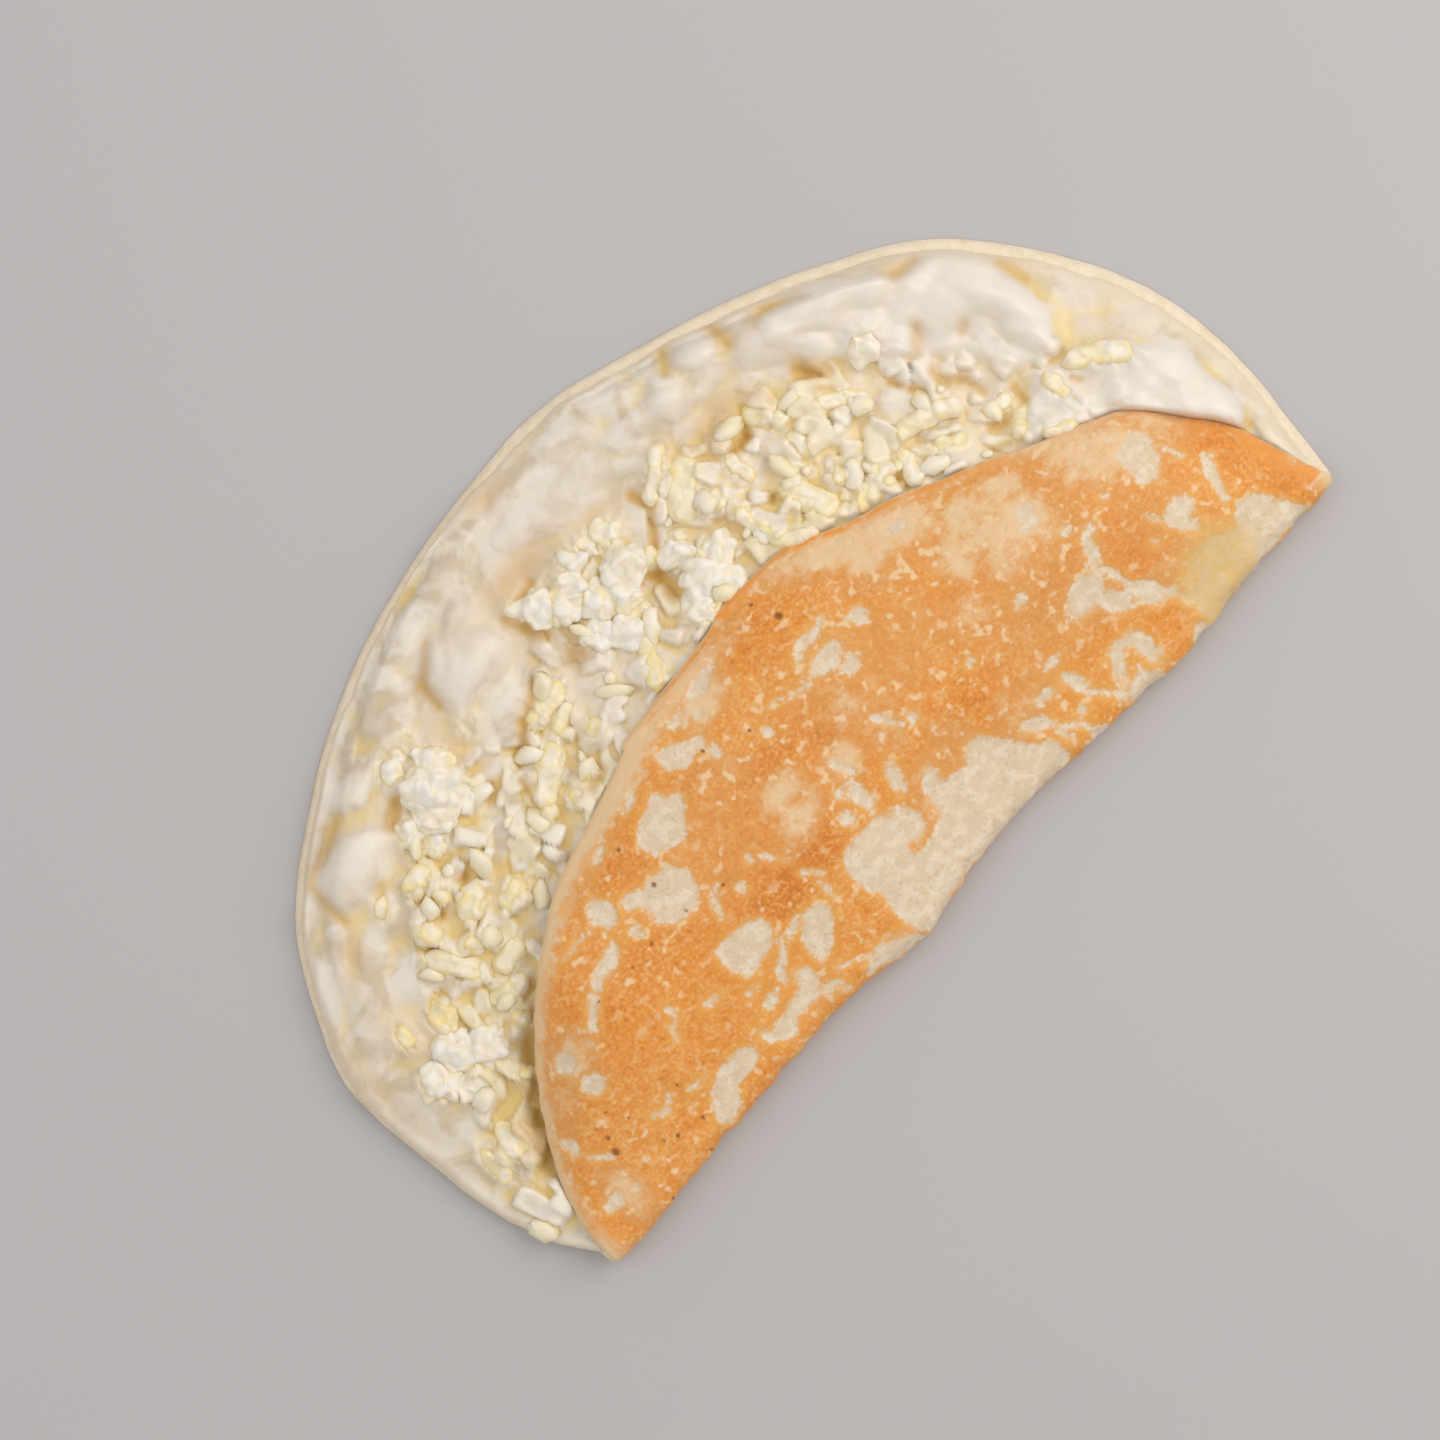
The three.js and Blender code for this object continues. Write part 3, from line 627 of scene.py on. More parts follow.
def bread_surface(settings, side):
    """One side of the sheet: points, distances along the unrolled sheet and from the rim."""
    thickness = settings.thickness / MM
    rows = sheet_rows(settings)
    u = ease_ends(np.linspace(0, 1, settings.columns + 1))
    points = np.zeros((len(rows), len(u), 3))
    unrolled = np.zeros((len(rows), len(u)))
    rims = np.zeros((len(rows), len(u)))
    arc, step = math.pi * (FOLD_RADIUS - thickness / 2), 0.5
    for r, row in enumerate(rows):
        lift = 0
        if row < 1:
            y0, top = row_height(1 - row, FLAP_TOP_Y), FLAP_TOP_Y
            left, right, lean_left, lean_right = row_ends(FLAP_LEFT, FLAP_RIGHT, y0)
        elif row <= 2:
            y0, top = FLAP_START, NO_RIM
            flap_ends = row_ends(FLAP_LEFT, FLAP_RIGHT, y0)
            leaf_ends = row_ends(LEAF_LEFT, LEAF_RIGHT, y0)
            left, right, lean_left, lean_right = mix(flap_ends, leaf_ends, row - 1)
        else:
            y0, top = row_height(row - 2, LEAF_TOP_Y), LEAF_TOP_Y
            left, right, lean_left, lean_right = row_ends(LEAF_LEFT, LEAF_RIGHT, y0)
        ragged = RAGGED_EDGE * ripple(left + right, y0, row, 3.0, 3)
        x = mix(left, right, u)
        x = x + ragged * np.where(u < 0.5, 1, -1) * (2 * np.abs(u - 0.5)) ** 8
        rim = np.minimum((x - left) * lean_left, (right - x) * lean_right)
        rim = np.clip(np.minimum(rim, top - y0), 0, None)
        half = half_thickness(rim, thickness)
        wander = read_curve(FOLD_WANDER, x) + RAGGED_CREASE * ripple(x, 0, 0, 5, 3)
        if row < 1:
            y = y0 + wander * (1 - (y0 - FLAP_START) / (FLAP_TOP_Y - FLAP_START)) ** 2
            z = flap_middle(x, y0, thickness)
            rise = (flap_middle(x, y0 + step, thickness) - z) / step
            normal = np.stack((np.gradient(z, x), rise, -np.ones_like(x)), 1)
            normal /= np.linalg.norm(normal, axis=1)[:, None]
            lift = normal * (side * half)[:, None]
            unrolled[r] = y
        elif row <= 2:
            angle = math.pi * (2 - row)
            radius = FOLD_RADIUS - thickness / 2 - side * half
            y = FLAP_START + wander - radius * math.sin(angle)
            seam = flap_middle(x, FLAP_START, thickness) - (2 * FOLD_RADIUS - thickness / 2)
            z = FOLD_RADIUS - radius * math.cos(angle) + seam * (2 - row)
            unrolled[r] = FLAP_START - arc * (row - 1)
        else:
            y = y0 + wander * (1 - (y0 - FLAP_START) / (LEAF_TOP_Y - FLAP_START)) ** 2
            z = 2 * half if side > 0 else 0 * x
            unrolled[r] = FLAP_START - arc - (y - FLAP_START)
        points[r] = np.stack((x, y, z), 1) + lift
        rims[r] = rim
    return points, unrolled, rims


def underside_spots(rng):
    """Unbrowned spots for the lower leaf's underside, which lies past the fold on the sheet."""
    spots = []
    for _ in range(UNDERSIDE_SPOTS):
        size = rng.uniform(*UNDERSIDE_SIZES)
        x, y = [rng.uniform(*span) for span in UNDERSIDE_FIELD]
        spots.append((x, y, size, size * rng.uniform(0.5, 1), rng.uniform(0, 180)))
    return spots


def toast_fields(x, y, rims):
    """Fields that drive the bread's colours, for points at x and y on the unrolled sheet."""
    rng = np.random.default_rng(SEED)
    spots = list(PALE_SPOTS) + underside_spots(rng)
    pale = [ellipse_distance(x, y, spot) for spot in spots]
    pale += [outline_distance(x, y, patch) for patch in PALE_PATCHES]
    pale += [line_distance(x, y, *ends) - width / 2 for *ends, width in PALE_STREAKS]
    on_flap = y > FLAP_START - 1
    band = rims - np.where(on_flap, read_curve(PALE_RIM, x), UNDERSIDE_RIM)
    dots = [np.hypot(x - dot_x, y - dot_y) / radius for dot_x, dot_y, radius in BURNT_DOTS]
    middle_line = fading(rims - 0.8, 0.8) * smoothstep(-28, -8, x) * smoothstep(76, 58, x)
    right_band = 0.9 * fading(rims - 2, 3.2) * smoothstep(98, 110, x)
    from_grease = np.clip(ellipse_distance(x, y, GREASE_SPOT), 0, None)
    return {
        "pale": np.clip(nearest_of(pale), *SPOT_RANGE),
        "band": np.clip(band, -6, 6),
        "faint": np.minimum(1.3 * area_field(x, y, FAINT_AREAS, 0.8, 0.9), 1),
        "dark": area_field(x, y, DARK_AREAS, 1, 0.8),
        "dot": np.clip(np.min(dots, 0), 0, 4),
        "line": np.maximum(middle_line, right_band) * on_flap,
        "oil": fading(from_grease, GREASE_FADE),
    }


def blistered(outside, inside, unrolled, rims, pale):
    """The toasted side with its unbrowned spots sunk in and its crease crinkled."""
    x = outside[:, :, 0]
    sunk = SPOT_DEPTH * (smoothstep(-0.6, 0.6, pale) - 1)
    grain = GRAIN_HEIGHT * ripple(x, unrolled, 0, 2.6, 3)
    by_crease = CRINKLE_HEIGHT * fading(unrolled - FLAP_START + 4, CRINKLE_REACH)
    crinkle = by_crease * ripple(x / CRINKLE_STRETCH, unrolled, 4, 2.4, 3)
    rise = (sunk + grain + crinkle) * smoothstep(0, 1.5, rims)
    rise *= np.where(unrolled < FLAP_START - 3 * FOLD_RADIUS, UNDERSIDE_RELIEF, 1.0)
    direction = outside - inside
    direction /= np.linalg.norm(direction, axis=2)[:, :, None]
    outside = outside + direction * rise[:, :, None]
    outside[:, :, 2] = np.maximum(outside[:, :, 2], FLOOR_GAP)
    return outside


def make_bread(settings):
    """The whole sheet as one closed mesh: filling's side, rim walls and toasted side."""
    inside, _, rims = bread_surface(settings, 1)
    outside, unrolled, _ = bread_surface(settings, -1)
    rows, columns = outside.shape[0] - 1, outside.shape[1] - 1
    fields = toast_fields(outside[:, :, 0], unrolled, rims)
    outside = blistered(outside, inside, unrolled, rims, fields["pale"])

    count = (rows + 1) * (columns + 1)
    points = [inside.reshape(-1, 3), outside.reshape(-1, 3)]
    faces = grid_faces(rows, columns, flip=True) + grid_faces(rows, columns, count)
    loop = border_loop(rows, columns)
    inner_rim, outer_rim = points[0][loop], points[1][loop]
    along = np.roll(inner_rim, -1, 0) - np.roll(inner_rim, 1, 0)
    outward = np.cross(outer_rim - inner_rim, along)
    outward /= np.maximum(np.linalg.norm(outward, axis=1), 1e-6)[:, None]
    outward *= np.sign(np.mean(np.sum(outward * (inner_rim - inner_rim.mean(0)), 1)))
    wall_toast = ((0.25, 0.0), (0.5, 0.25), (0.75, 0.7))  # share of the wall's height, toasting
    lower = loop
    for step, (share, _) in enumerate(wall_toast):
        bulge = WALL_BULGE * math.sin(math.pi * share)
        points.append(mix(inner_rim, outer_rim, share) + outward * bulge)
        start = 2 * count + step * len(loop)
        upper = list(range(start, start + len(loop)))
        faces += band_faces(lower, upper)
        lower = upper
    faces += band_faces(lower, [i + count for i in loop])

    attributes = {}
    for label, field in fields.items():
        flat = field.ravel()
        attributes[label] = np.concatenate((flat, flat, np.tile(flat[loop], len(wall_toast))))
    walls = [np.full(len(loop), toasting) for _, toasting in wall_toast]
    attributes["toasted"] = np.concatenate((np.zeros(count), np.ones(count), *walls))
    piece = make_piece("baked_sheet", np.concatenate(points), faces, attributes)
    bm = bmesh.new()
    bm.from_mesh(piece.data)
    bmesh.ops.recalc_face_normals(bm, faces=bm.faces)
    bm.to_mesh(piece.data)
    bm.free()
    piece.data.shade_smooth()
    return piece


def bread_material(settings):
    """Soft wheat flatbread, baked on a griddle: matt skin, toasted in a fine grain where it
    touched the iron, pale and slightly sunk where a bubble held it clear."""
    material, tree = new_material("griddled_flatbread")
    place = millimetre_coordinates(tree)
    grains = {  # size in millimetres, detail, roughness, distortion
        "blotch": (16, 2, 0.5, 0.4),
        "mottle": (2.8, 4, 0.6, 0.3),
        "fleck": (2.3, 1, 0.4, 0),
        "grit": (0.95, 3, 0.6, 0),
        "speck": (0.9, 2, 0.5, 0),
    }
    for label, (size, detail, roughness, distortion) in grains.items():
        grains[label] = add_node(
            tree, "ShaderNodeTexNoise",
            {"Vector": place, "Scale": 1 / size, "Detail": detail, "Roughness": roughness,
             "Distortion": distortion},
        )
    blotch, mottle, fleck, grit, speck = grains.values()
    marks = {}
    for label in ("pale", "faint", "dark", "band", "line", "oil", "dot", "toasted"):
        marks[label] = add_node(tree, "ShaderNodeAttribute", output="Fac", attribute_name=label)

    sums = {  # a start, then sources with their weights
        "distance": (-2.7, (marks["pale"], 1), (mottle, 3.2), (grit, 2.2)),
        "shade": (0.12, (grit, 0.6), (mottle, 0.4), (blotch, -0.24), (marks["dark"], -0.09),
                  (marks["faint"], 0.1)),
        "patchy": (-0.8, (marks["faint"], 1), (mottle, 1.4), (grit, 0.2)),
        "openness": (1, (blotch, -1), (marks["faint"], 0.3)),
        "rim": (-6.2, (marks["band"], 1), (mottle, 9), (grit, 3)),
        "relief": (0, (mottle, 0.6), (grit, 0.5), (fleck, -0.1)),
    }
    for label, (total, *terms) in sums.items():
        for source, weight in terms:
            total = add_node(
                tree, "ShaderNodeMath", {0: source, 1: weight, 2: total}, operation="MULTIPLY_ADD"
            )
        sums[label] = total
    distance, shade, patchy, openness, rim, relief = sums.values()

    steps = {  # source, the range it is read over, and what that range becomes
        "toast": (distance, -0.55, 0.55, 0, 1),
        "light": (shade, 0.47, 0.64, 0, 1),
        "strong": (shade, 0.46, 0.32, 0, 1),
        "deep": (grit, 0.62, 0.42, 0, marks["dark"]),
        "halo": (distance, 1.8, 0.3, 0, 0.5),
        "sparse": (openness, 0.4, 0.6, 0.2, 0.75),
        "haze": (marks["faint"], 0.06, 0.3, 0, 0.6),
        "faint": (patchy, 0.25, 1.1, 0, 0.85),
        "rim": (rim, 2.2, -2.0, 0, 0.85),
        "inner": (mottle, 0.38, 0.56, 0.25, 1),
        "cloudy": (fleck, 0.5, 0.72, 0, 0.55),
        "speck": (speck, 0.6, 0.72, 0, 0.35),
        "greasy": (mottle, 0.35, 0.6, 0.9, 0.55),
        "streaky": (mottle, 0.35, 0.55, 0.3, 1),
        "burnt": (marks["dot"], 1.5, 0.7, 0, 0.8),
        "baked": (mottle, 0.4, 0.65, 0, 1),
        "sheen": (marks["oil"], 0, 1, 0.6, 0.34),
    }
    for label, (source, low, high, least, most) in steps.items():
        steps[label] = add_node(
            tree, "ShaderNodeMapRange",
            {"Value": source, "From Min": low, "From Max": high, "To Min": least, "To Max": most},
            interpolation_type="SMOOTHSTEP",
        )
    flecks = add_node(
        tree, "ShaderNodeMapRange",
        {"Value": fleck, "From Min": 0.57, "From Max": 0.72, "To Max": steps["sparse"]},
        interpolation_type="SMOOTHSTEP",
    )
    soaked = add_node(
        tree, "ShaderNodeMath", {0: marks["oil"], 1: steps["greasy"]}, operation="MULTIPLY"
    )
    edge_line = add_node(
        tree, "ShaderNodeMath", {0: marks["line"], 1: steps["streaky"]}, operation="MULTIPLY"
    )

    coats = {  # the colour below, then coats of colour, each with how much of it shows
        "toast": (settings.toast_mid, (steps["light"], settings.toast_light),
                  (steps["strong"], settings.toast_dark), (steps["deep"], settings.toast_dark),
                  (steps["halo"], settings.halo), (steps["haze"], settings.haze),
                  (flecks, settings.fleck), (steps["faint"], settings.faint),
                  (steps["rim"], settings.rim)),
        "dough": (settings.dough_white, (steps["inner"], settings.dough),
                  (steps["cloudy"], settings.cloudy), (steps["speck"], settings.speck)),
        "crumb": (settings.crumb, (steps["baked"], settings.baked)),
    }
    for label, (ground, *layers) in coats.items():
        colour = linear(ground)
        for part, coat in layers:
            colour = add_node(
                tree, "ShaderNodeMix", {0: part, MIX_BELOW: colour, MIX_ABOVE: linear(coat)},
                MIX_RESULT, data_type="RGBA",
            )
        coats[label] = colour
    skin = coats["dough"]
    for part, coat in (
        (steps["toast"], coats["toast"]), (soaked, linear(settings.greasy)),
        (edge_line, linear(settings.edge_line)), (steps["burnt"], linear(settings.burnt)),
    ):
        skin = add_node(
            tree, "ShaderNodeMix", {0: part, MIX_BELOW: skin, MIX_ABOVE: coat}, MIX_RESULT,
            data_type="RGBA",
        )
    colour = add_node(
        tree, "ShaderNodeMix", {0: marks["toasted"], MIX_BELOW: coats["crumb"], MIX_ABOVE: skin},
        MIX_RESULT, data_type="RGBA",
    )
    bump = add_node(
        tree, "ShaderNodeBump", {"Height": relief, "Strength": 0.6, "Distance": 0.6 * MM}
    )
    surface = add_node(
        tree, "ShaderNodeBsdfPrincipled",
        {"Base Color": colour, "Roughness": steps["sheen"], "Normal": bump,
         "Specular IOR Level": 0.35, "Subsurface Weight": 0.12,
         "Subsurface Radius": (1.0, 0.5, 0.25), "Subsurface Scale": 1.5 * MM},
    )
    add_node(tree, "ShaderNodeOutputMaterial", {"Surface": surface})
    return material


# ---- the melted layer -----------------------------------------------------------------------

# Soft pillows of the melted layer: x, y, half-widths, turn, height.
PILLOWS = (
    (-108, 22, 12, 3.8, 48, 1.8), (-104, 33.5, 6.5, 2.6, 42, 1.2), (-88, 33.4, 10, 7, 12, 3.4),
    (-91, 43, 8, 2.6, 30, 1.3), (-79, 50, 6, 2.6, 32, 1.2), (-75, 45.6, 8.4, 4.2, 8, 2.6),
    (-68.6, 45, 3.6, 3.2, 0, 1.6), (-70, 53.6, 6.4, 2.6, 34, 1.3), (-99, 17.4, 8, 3.2, 36, 1.4),
    (-88, 19, 8, 5, 20, 1.5), (-60, 49, 7, 5.6, 10, 2.4), (-54, 57, 8, 3.8, 28, 1.6),
    (-45, 60, 9, 4.6, 15, 1.6), (-39, 45.4, 9.6, 8.4, 0, 3.6), (-33.2, 44, 3.6, 6, -18, 2.2),
    (-31.4, 53, 5.6, 4.8, 0, 1.6), (-30, 62, 9, 5.6, 10, 1.4), (-20, 66.4, 8, 3.8, 0, 1.1),
    (-43, 33.4, 10, 5, 15, 1.6), (-50.4, 27, 5.6, 4.6, 20, 1.4), (-56, 53, 5, 5, 0, 1.4),
    (3, 54, 13, 5.6, -4, 2.2), (-8.4, 57.4, 7, 4, 0, 1.5), (10, 63, 13, 4.6, 0, 1.2),
    (-3, 63.6, 7, 3.6, 0, 1), (25, 62, 6.6, 3.8, -25, 1.4), (36.4, 60.6, 4, 2.8, -15, 1.6),
    (33, 52, 5, 5.4, 0, 2.8), (24.6, 52, 7.6, 4.8, -20, 1.8), (45.4, 55, 5.6, 5.8, -10, 2.8),
    (19, 47, 7.4, 3.4, -30, 1.5), (40, 48.4, 7.6, 3.2, -10, 1.6), (56.4, 53, 4.4, 4.4, -20, 1.8),
    (57, 44.4, 9, 5, -18, 3), (70, 41.4, 9.4, 5.4, -24, 3.4), (80, 37, 6.6, 4.4, -42, 2.8),
    (68, 48.2, 6, 2.2, -28, 1.2), (93, 29.4, 6.4, 3.2, -20, 2), (97.4, 20, 6.8, 8.6, 0, 2.8),
    (99.4, 7, 5.4, 11, 0, 3), (88.4, 20.6, 6, 6, 0, 2), (84.6, 27, 6, 3.8, -10, 1.7),
    (73.6, 31, 6.6, 4.4, -15, 2.2), (62, 36.4, 6, 3.6, -40, 1.5), (110.4, 9, 3.8, 1.1, -35, 0.9),
    (111.6, 1.6, 5, 6, 20, 1), (112, -14, 8, 5, -35, 1.4), (104, -22, 9, 6, -38, 2.6),
    (112.4, -24, 6.4, 8.4, 0, 2.8), (113.4, -37, 4.8, 7.6, 8, 2.8), (107, -32, 5, 8, 40, 2.2),
    (-118, 4, 3.6, 10, -8, 1.2), (-117, -12, 5, 9, 0, 1.1), (-112, 7, 5, 8, -10, 1.2),
    (-105, 11, 6, 6, 0, 1.3), (-96, 8, 7, 6, 0, 1.4), (-112, -22, 8, 4, -10, 1),
    (-104, -30, 6, 4, 30, 0.8), (-60, 14, 6, 7, 0, 2), (-56, 5, 6, 3.4, 10, 1.8),
    (-67, 18, 4.4, 6.4, 0, 1.7), (-25, 15, 6, 4.4, 10, 1.4), (-22, 22, 7, 4, 20, 1.3),
    (-1, 17, 5, 7, 0, 1.4), (25, 14, 5.6, 3, -15, 1.1), (50, 30, 5, 6, 0, 1.8),
    (41, 27, 4, 6, 0, 1.6), (52, 20, 5, 4, -10, 1.8), (66, 13, 6, 5, 0, 1.8),
    (77, 24, 4, 6, 0, 1.7), (66, -3, 6, 4, -15, 1.5), (74, 14, 3, 6, 0, 1.6),
    (104, -8, 6, 6, -20, 0.9), (118, -52, 3, 8, 5, 1.4), (-55, 36, 3, 7, 0, 1.1),
)
# Deep creases, yellow with fat and painted shade, those along the flap's left edge painting its
# shadow: from x, y to x, y, width, depth.
CREASES = (
    (-75.6, 33.6, -71.6, 36, 1.5, 1.8), (-98.4, 27, -98, 38, 1.1, 0.8),
    (-96, 39.2, -87, 41, 1.2, 0.8), (-87, 41, -81.6, 44, 1.2, 0.8),
    (-49.4, 43.6, -49, 49, 1.3, 1), (-49, 49, -41.6, 54.4, 1.2, 0.8),
    (-26, 45.4, -22.6, 36.6, 1.3, 1.2), (-45.6, 22, -40, 27, 1.2, 1.6),
    (-40, 27, -31.6, 31, 1.1, 1.5), (-20.8, 46, -16.4, 46.6, 1, 1.2),
    (12.6, 43, 13.8, 38.6, 1.2, 1.6), (13.8, 38.6, 8, 32.4, 1, 1.3), (8, 32.4, 5.6, 27, 0.9, 1),
    (0, 30.6, 4, 27.2, 1.1, 1.5), (4, 27.2, 2.6, 22, 1.5, 1.2), (34.4, 33.4, 39, 33.2, 1, 1.7),
    (39, 33.2, 43, 38, 1, 1.3), (57, 34.6, 61.6, 30, 1.7, 1.6), (57.6, 28.6, 59, 26.6, 1.1, 1),
    (37, 55.6, 40.6, 60, 1.1, 0.9), (51, 50, 51.6, 57, 1.5, 1), (58, 48.6, 62, 49.8, 1.1, 0.7),
    (62, 49.8, 70, 44.6, 1, 0.8), (86, 33, 92, 32.4, 1.4, 0.9), (69, 18, 71.8, 12, 0.8, 1.2),
    (77, 12.6, 76.4, 10, 1.3, 1.3), (76.4, 10, 80.4, 6.4, 1.3, 1.3), (80.4, 6.4, 81.4, 2, 1, 1),
    (78, 18.4, 81.4, 22, 1.2, 0.9), (87.6, 14, 89, 14.6, 1.2, 0.8),
    (104.6, 18, 105.4, 11.6, 1.4, 0.9), (-106.6, -13.8, -106.3, -16.4, 0.9, 1.5),
    (-92, 22, -87, 26.4, 1, 0.8), (-51.4, 12.4, -49.6, 19, 0.9, 1.1),
    (-40, 6.8, -36.4, 7.6, 1.3, 1), (-83.4, 16, -83, 12.6, 1.1, 1.1),
    (32.6, 20, 32.9, 20.4, 0.9, 1.6), (54, 0.4, 54.2, 4, 0.9, 1.2),
    (-104.6, -5.6, -102.6, -8, 0.9, 1), (96, -10.4, 97, -12, 0.7, 0.9), (-90, 9, -89, 5, 1, 0.9),
    (-74.6, 14.6, -73.6, 14.2, 1, 1.3), (-57.4, 22, -54.6, 23.6, 1, 0.9),
    (86.4, -2.6, 86, -6.4, 0.9, 1.3), (-107.6, -42, -99, -30, 2, 1.8),
    (-99, -30, -91, -21, 1.8, 1.5), (-91, -21, -81, -12.4, 1.4, 1),
    (115, -45, 114.6, -46, 0.9, 0.9), (46.4, 9.6, 44.4, 4.4, 0.9, 0.9),
    (66.4, 9.4, 67.4, 8.4, 1, 1), (73, -8.2, 77.6, -11, 0.9, 0.9), (77, -5, 79, -6, 1.1, 1.2),
    (-21.6, 29.4, -20.4, 28.6, 2.4, 1.3),
)
# Areas where the layer is thin and tan: x, y, half-widths, turn, strength.
THIN_AREAS = (
    (-17, 50.6, 13, 3.6, 2, 0.9), (5, 46.6, 7, 2, -15, 0.7), (36, 40.4, 8, 4.2, 0, 1),
    (-9, 67, 5, 3.4, 0, 0.8), (110, -6, 6, 6, 0, 0.45), (4.6, 68, 4, 1.6, 0, 0.5),
    (106, 16, 3, 6, 10, 0.7), (-102, 21, 9, 2.4, 40, 0.7), (-27, 41, 3, 6, -20, 0.6),
    (-120, 0, 3, 16, 0, 0.5), (-53.6, 38, 3, 8, 0, 0.6), (-108, 0, 5, 10, 0, 0.4),
    (20, 21, 4, 7, 0, 0.6), (-3, 20, 4, 5, 0, 0.5), (88, 34, 5, 2.4, -10, 0.8),
    (-77, 27, 3, 6, 0, 0.6), (-31, 19, 6, 3, 20, 0.5), (46, 40, 4, 3, -30, 0.6),
    (112, -14, 6, 4, -30, 0.3), (-103, -31, 8, 6, 40, 0.9), (83, 41, 8, 3, -25, 0.4),
    (51.4, 53.6, 2.4, 4, 0, 0.6), (-46, 51, 3, 2, 40, 0.5), (60, 33, 4, 4, -40, 0.5),
)
# Thick white heaps with a steep edge: their height, and their outlines as (x, y) points.
HEAPS = (
    (1.9, ((92, -3), (99, -7), (106, -10.5), (113, -17), (118, -22), (117.4, -33), (118, -39),
           (115, -46), (106, -40), (96, -29), (86, -22), (80, -14), (84, -7))),
    (1.7, ((103.6, 20), (104.8, 11.7), (103, 3), (99.5, -2), (94, -4), (88, 0), (84, 10),
           (76, 18), (68, 26), (60, 36), (56, 44), (60, 49), (68, 47.6), (76, 44), (84, 36),
           (88, 32.4), (94.6, 32.6), (101, 27.6))),
)
# Areas where the cheese stands thick and white: x, y, half-widths, turn, strength.
WHITE_AREAS = (
    (33, 52, 5.4, 6, 0, 0.55), (45.6, 55, 5.6, 6.4, 0, 0.6), (57, 44, 9, 5, -18, 0.7),
    (-88, 33, 10, 7, 12, 0.5), (-39, 46, 9, 8, 0, 0.6), (-32, 46, 5, 9, -15, 0.6),
    (3, 55, 13, 6, -4, 0.5), (90, 24, 12, 9, -20, 0.6), (-22, 20, 10, 10, 10, 0.7),
    (24, 30, 16, 6, -20, 0.35), (62, 16, 14, 12, -30, 0.3), (84, 10, 14, 12, -30, 0.65),
    (110, -6, 7, 14, -10, 0.2),
)
# How far the band of flakes reaches past the flap's free edge, as (x, width) pairs, and the x over
# which it ends at right.
BAND_REACH = (
    (-125, 20), (-100, 34), (-70, 40), (-40, 24), (-10, 34), (20, 30), (50, 38), (80, 34),
    (105, 22), (125, 12),
)
BAND_END = 108, 94
# Where the layer starts inside the fold, its gap to the flap above it, how far its edge lies below
# the bread's top at the brim and at the foot, and how wide the brim rounds at left and right.
INSIDE_FOLD = 4.6
ROOF_GAP = 0.2
BRIM_DROP = 0.6
FOOT_DROP = 1.2
BRIM_WIDTH = 2.6, 6.5
# Depth from which a crease takes its full fat and painted shade, and how far light passes into
# cheese.
OIL_AND_SHADE_DEPTH = 1.3
SCATTER_DEPTH = 0.5
# How far the melted layer climbs at the foot of each strand and curd, and how far out it starts.
MENISCUS = 1.7
MENISCUS_REACH = 3.2
# Flakes sunk in the curd band: how many, over which x and y, how far each is rounded over, how
# uneven their slopes are, the lowest height between them and the height that counts as level.
FLAKE_COUNT = 900
FLAKE_FIELD = (-116, 116), (-50, 48)
FLAKE_SHOULDER = 0.8
FLAKE_SLOPE = 0.18
FLAKE_BED = 0.6
FLAKE_LEVEL = 1.2


class Ground:
    """The top of a mesh, which other pieces are laid on."""

    def __init__(self, mesh):
        vertices = [v.co.copy() for v in mesh.vertices]
        polygons = [tuple(p.vertices) for p in mesh.polygons]
        self.tree = BVHTree.FromPolygons(vertices, polygons)

    def height(self, points, fallback):
        """Height of the ground in millimetres under each point, or the fallback beside it."""
        down, above = Vector((0, 0, -1)), 0.1
        heights = np.array(fallback, float)
        for i, (x, y) in enumerate(points[:, :2] * MM):
            hit = self.tree.ray_cast(Vector((x, y, above)), down)[0]
            if hit is not None:
                heights[i] = hit.z / MM
        return heights


def layer_edges(y):
    """Where the melted layer ends at left and right, a little ragged."""
    left = read_curve(LEAF_LEFT, y + 1.4) + 0.5 + 0.5 * ripple(y, 0, 0, 7, 3)
    right = read_curve(LEAF_RIGHT, y + 1.4) - BARE_RIM - 0.8 * ripple(y, 5, 0, 9, 2)
    return left, right


def blurred(grid, times):
    """A height grid smoothed by repeated averaging with its neighbours."""
    for _ in range(times):
        padded = np.pad(grid, 1, mode="edge")
        grid = (
            padded[1:-1, 1:-1] * 2 + padded[:-2, 1:-1] + padded[2:, 1:-1]
            + padded[1:-1, :-2] + padded[1:-1, 2:]
        ) / 6
    return grid


def in_curd_band(x, y):
    """1 in the band of flakes next to the flap, 0 on the smooth melted border."""
    beyond = y - read_curve(FLAP_EDGE, x)
    reach = read_curve(BAND_REACH, x)
    near_flap = smoothstep(reach + 4, reach - 4, beyond) * smoothstep(-10, 0, beyond)
    return near_flap * smoothstep(*BAND_END, x)


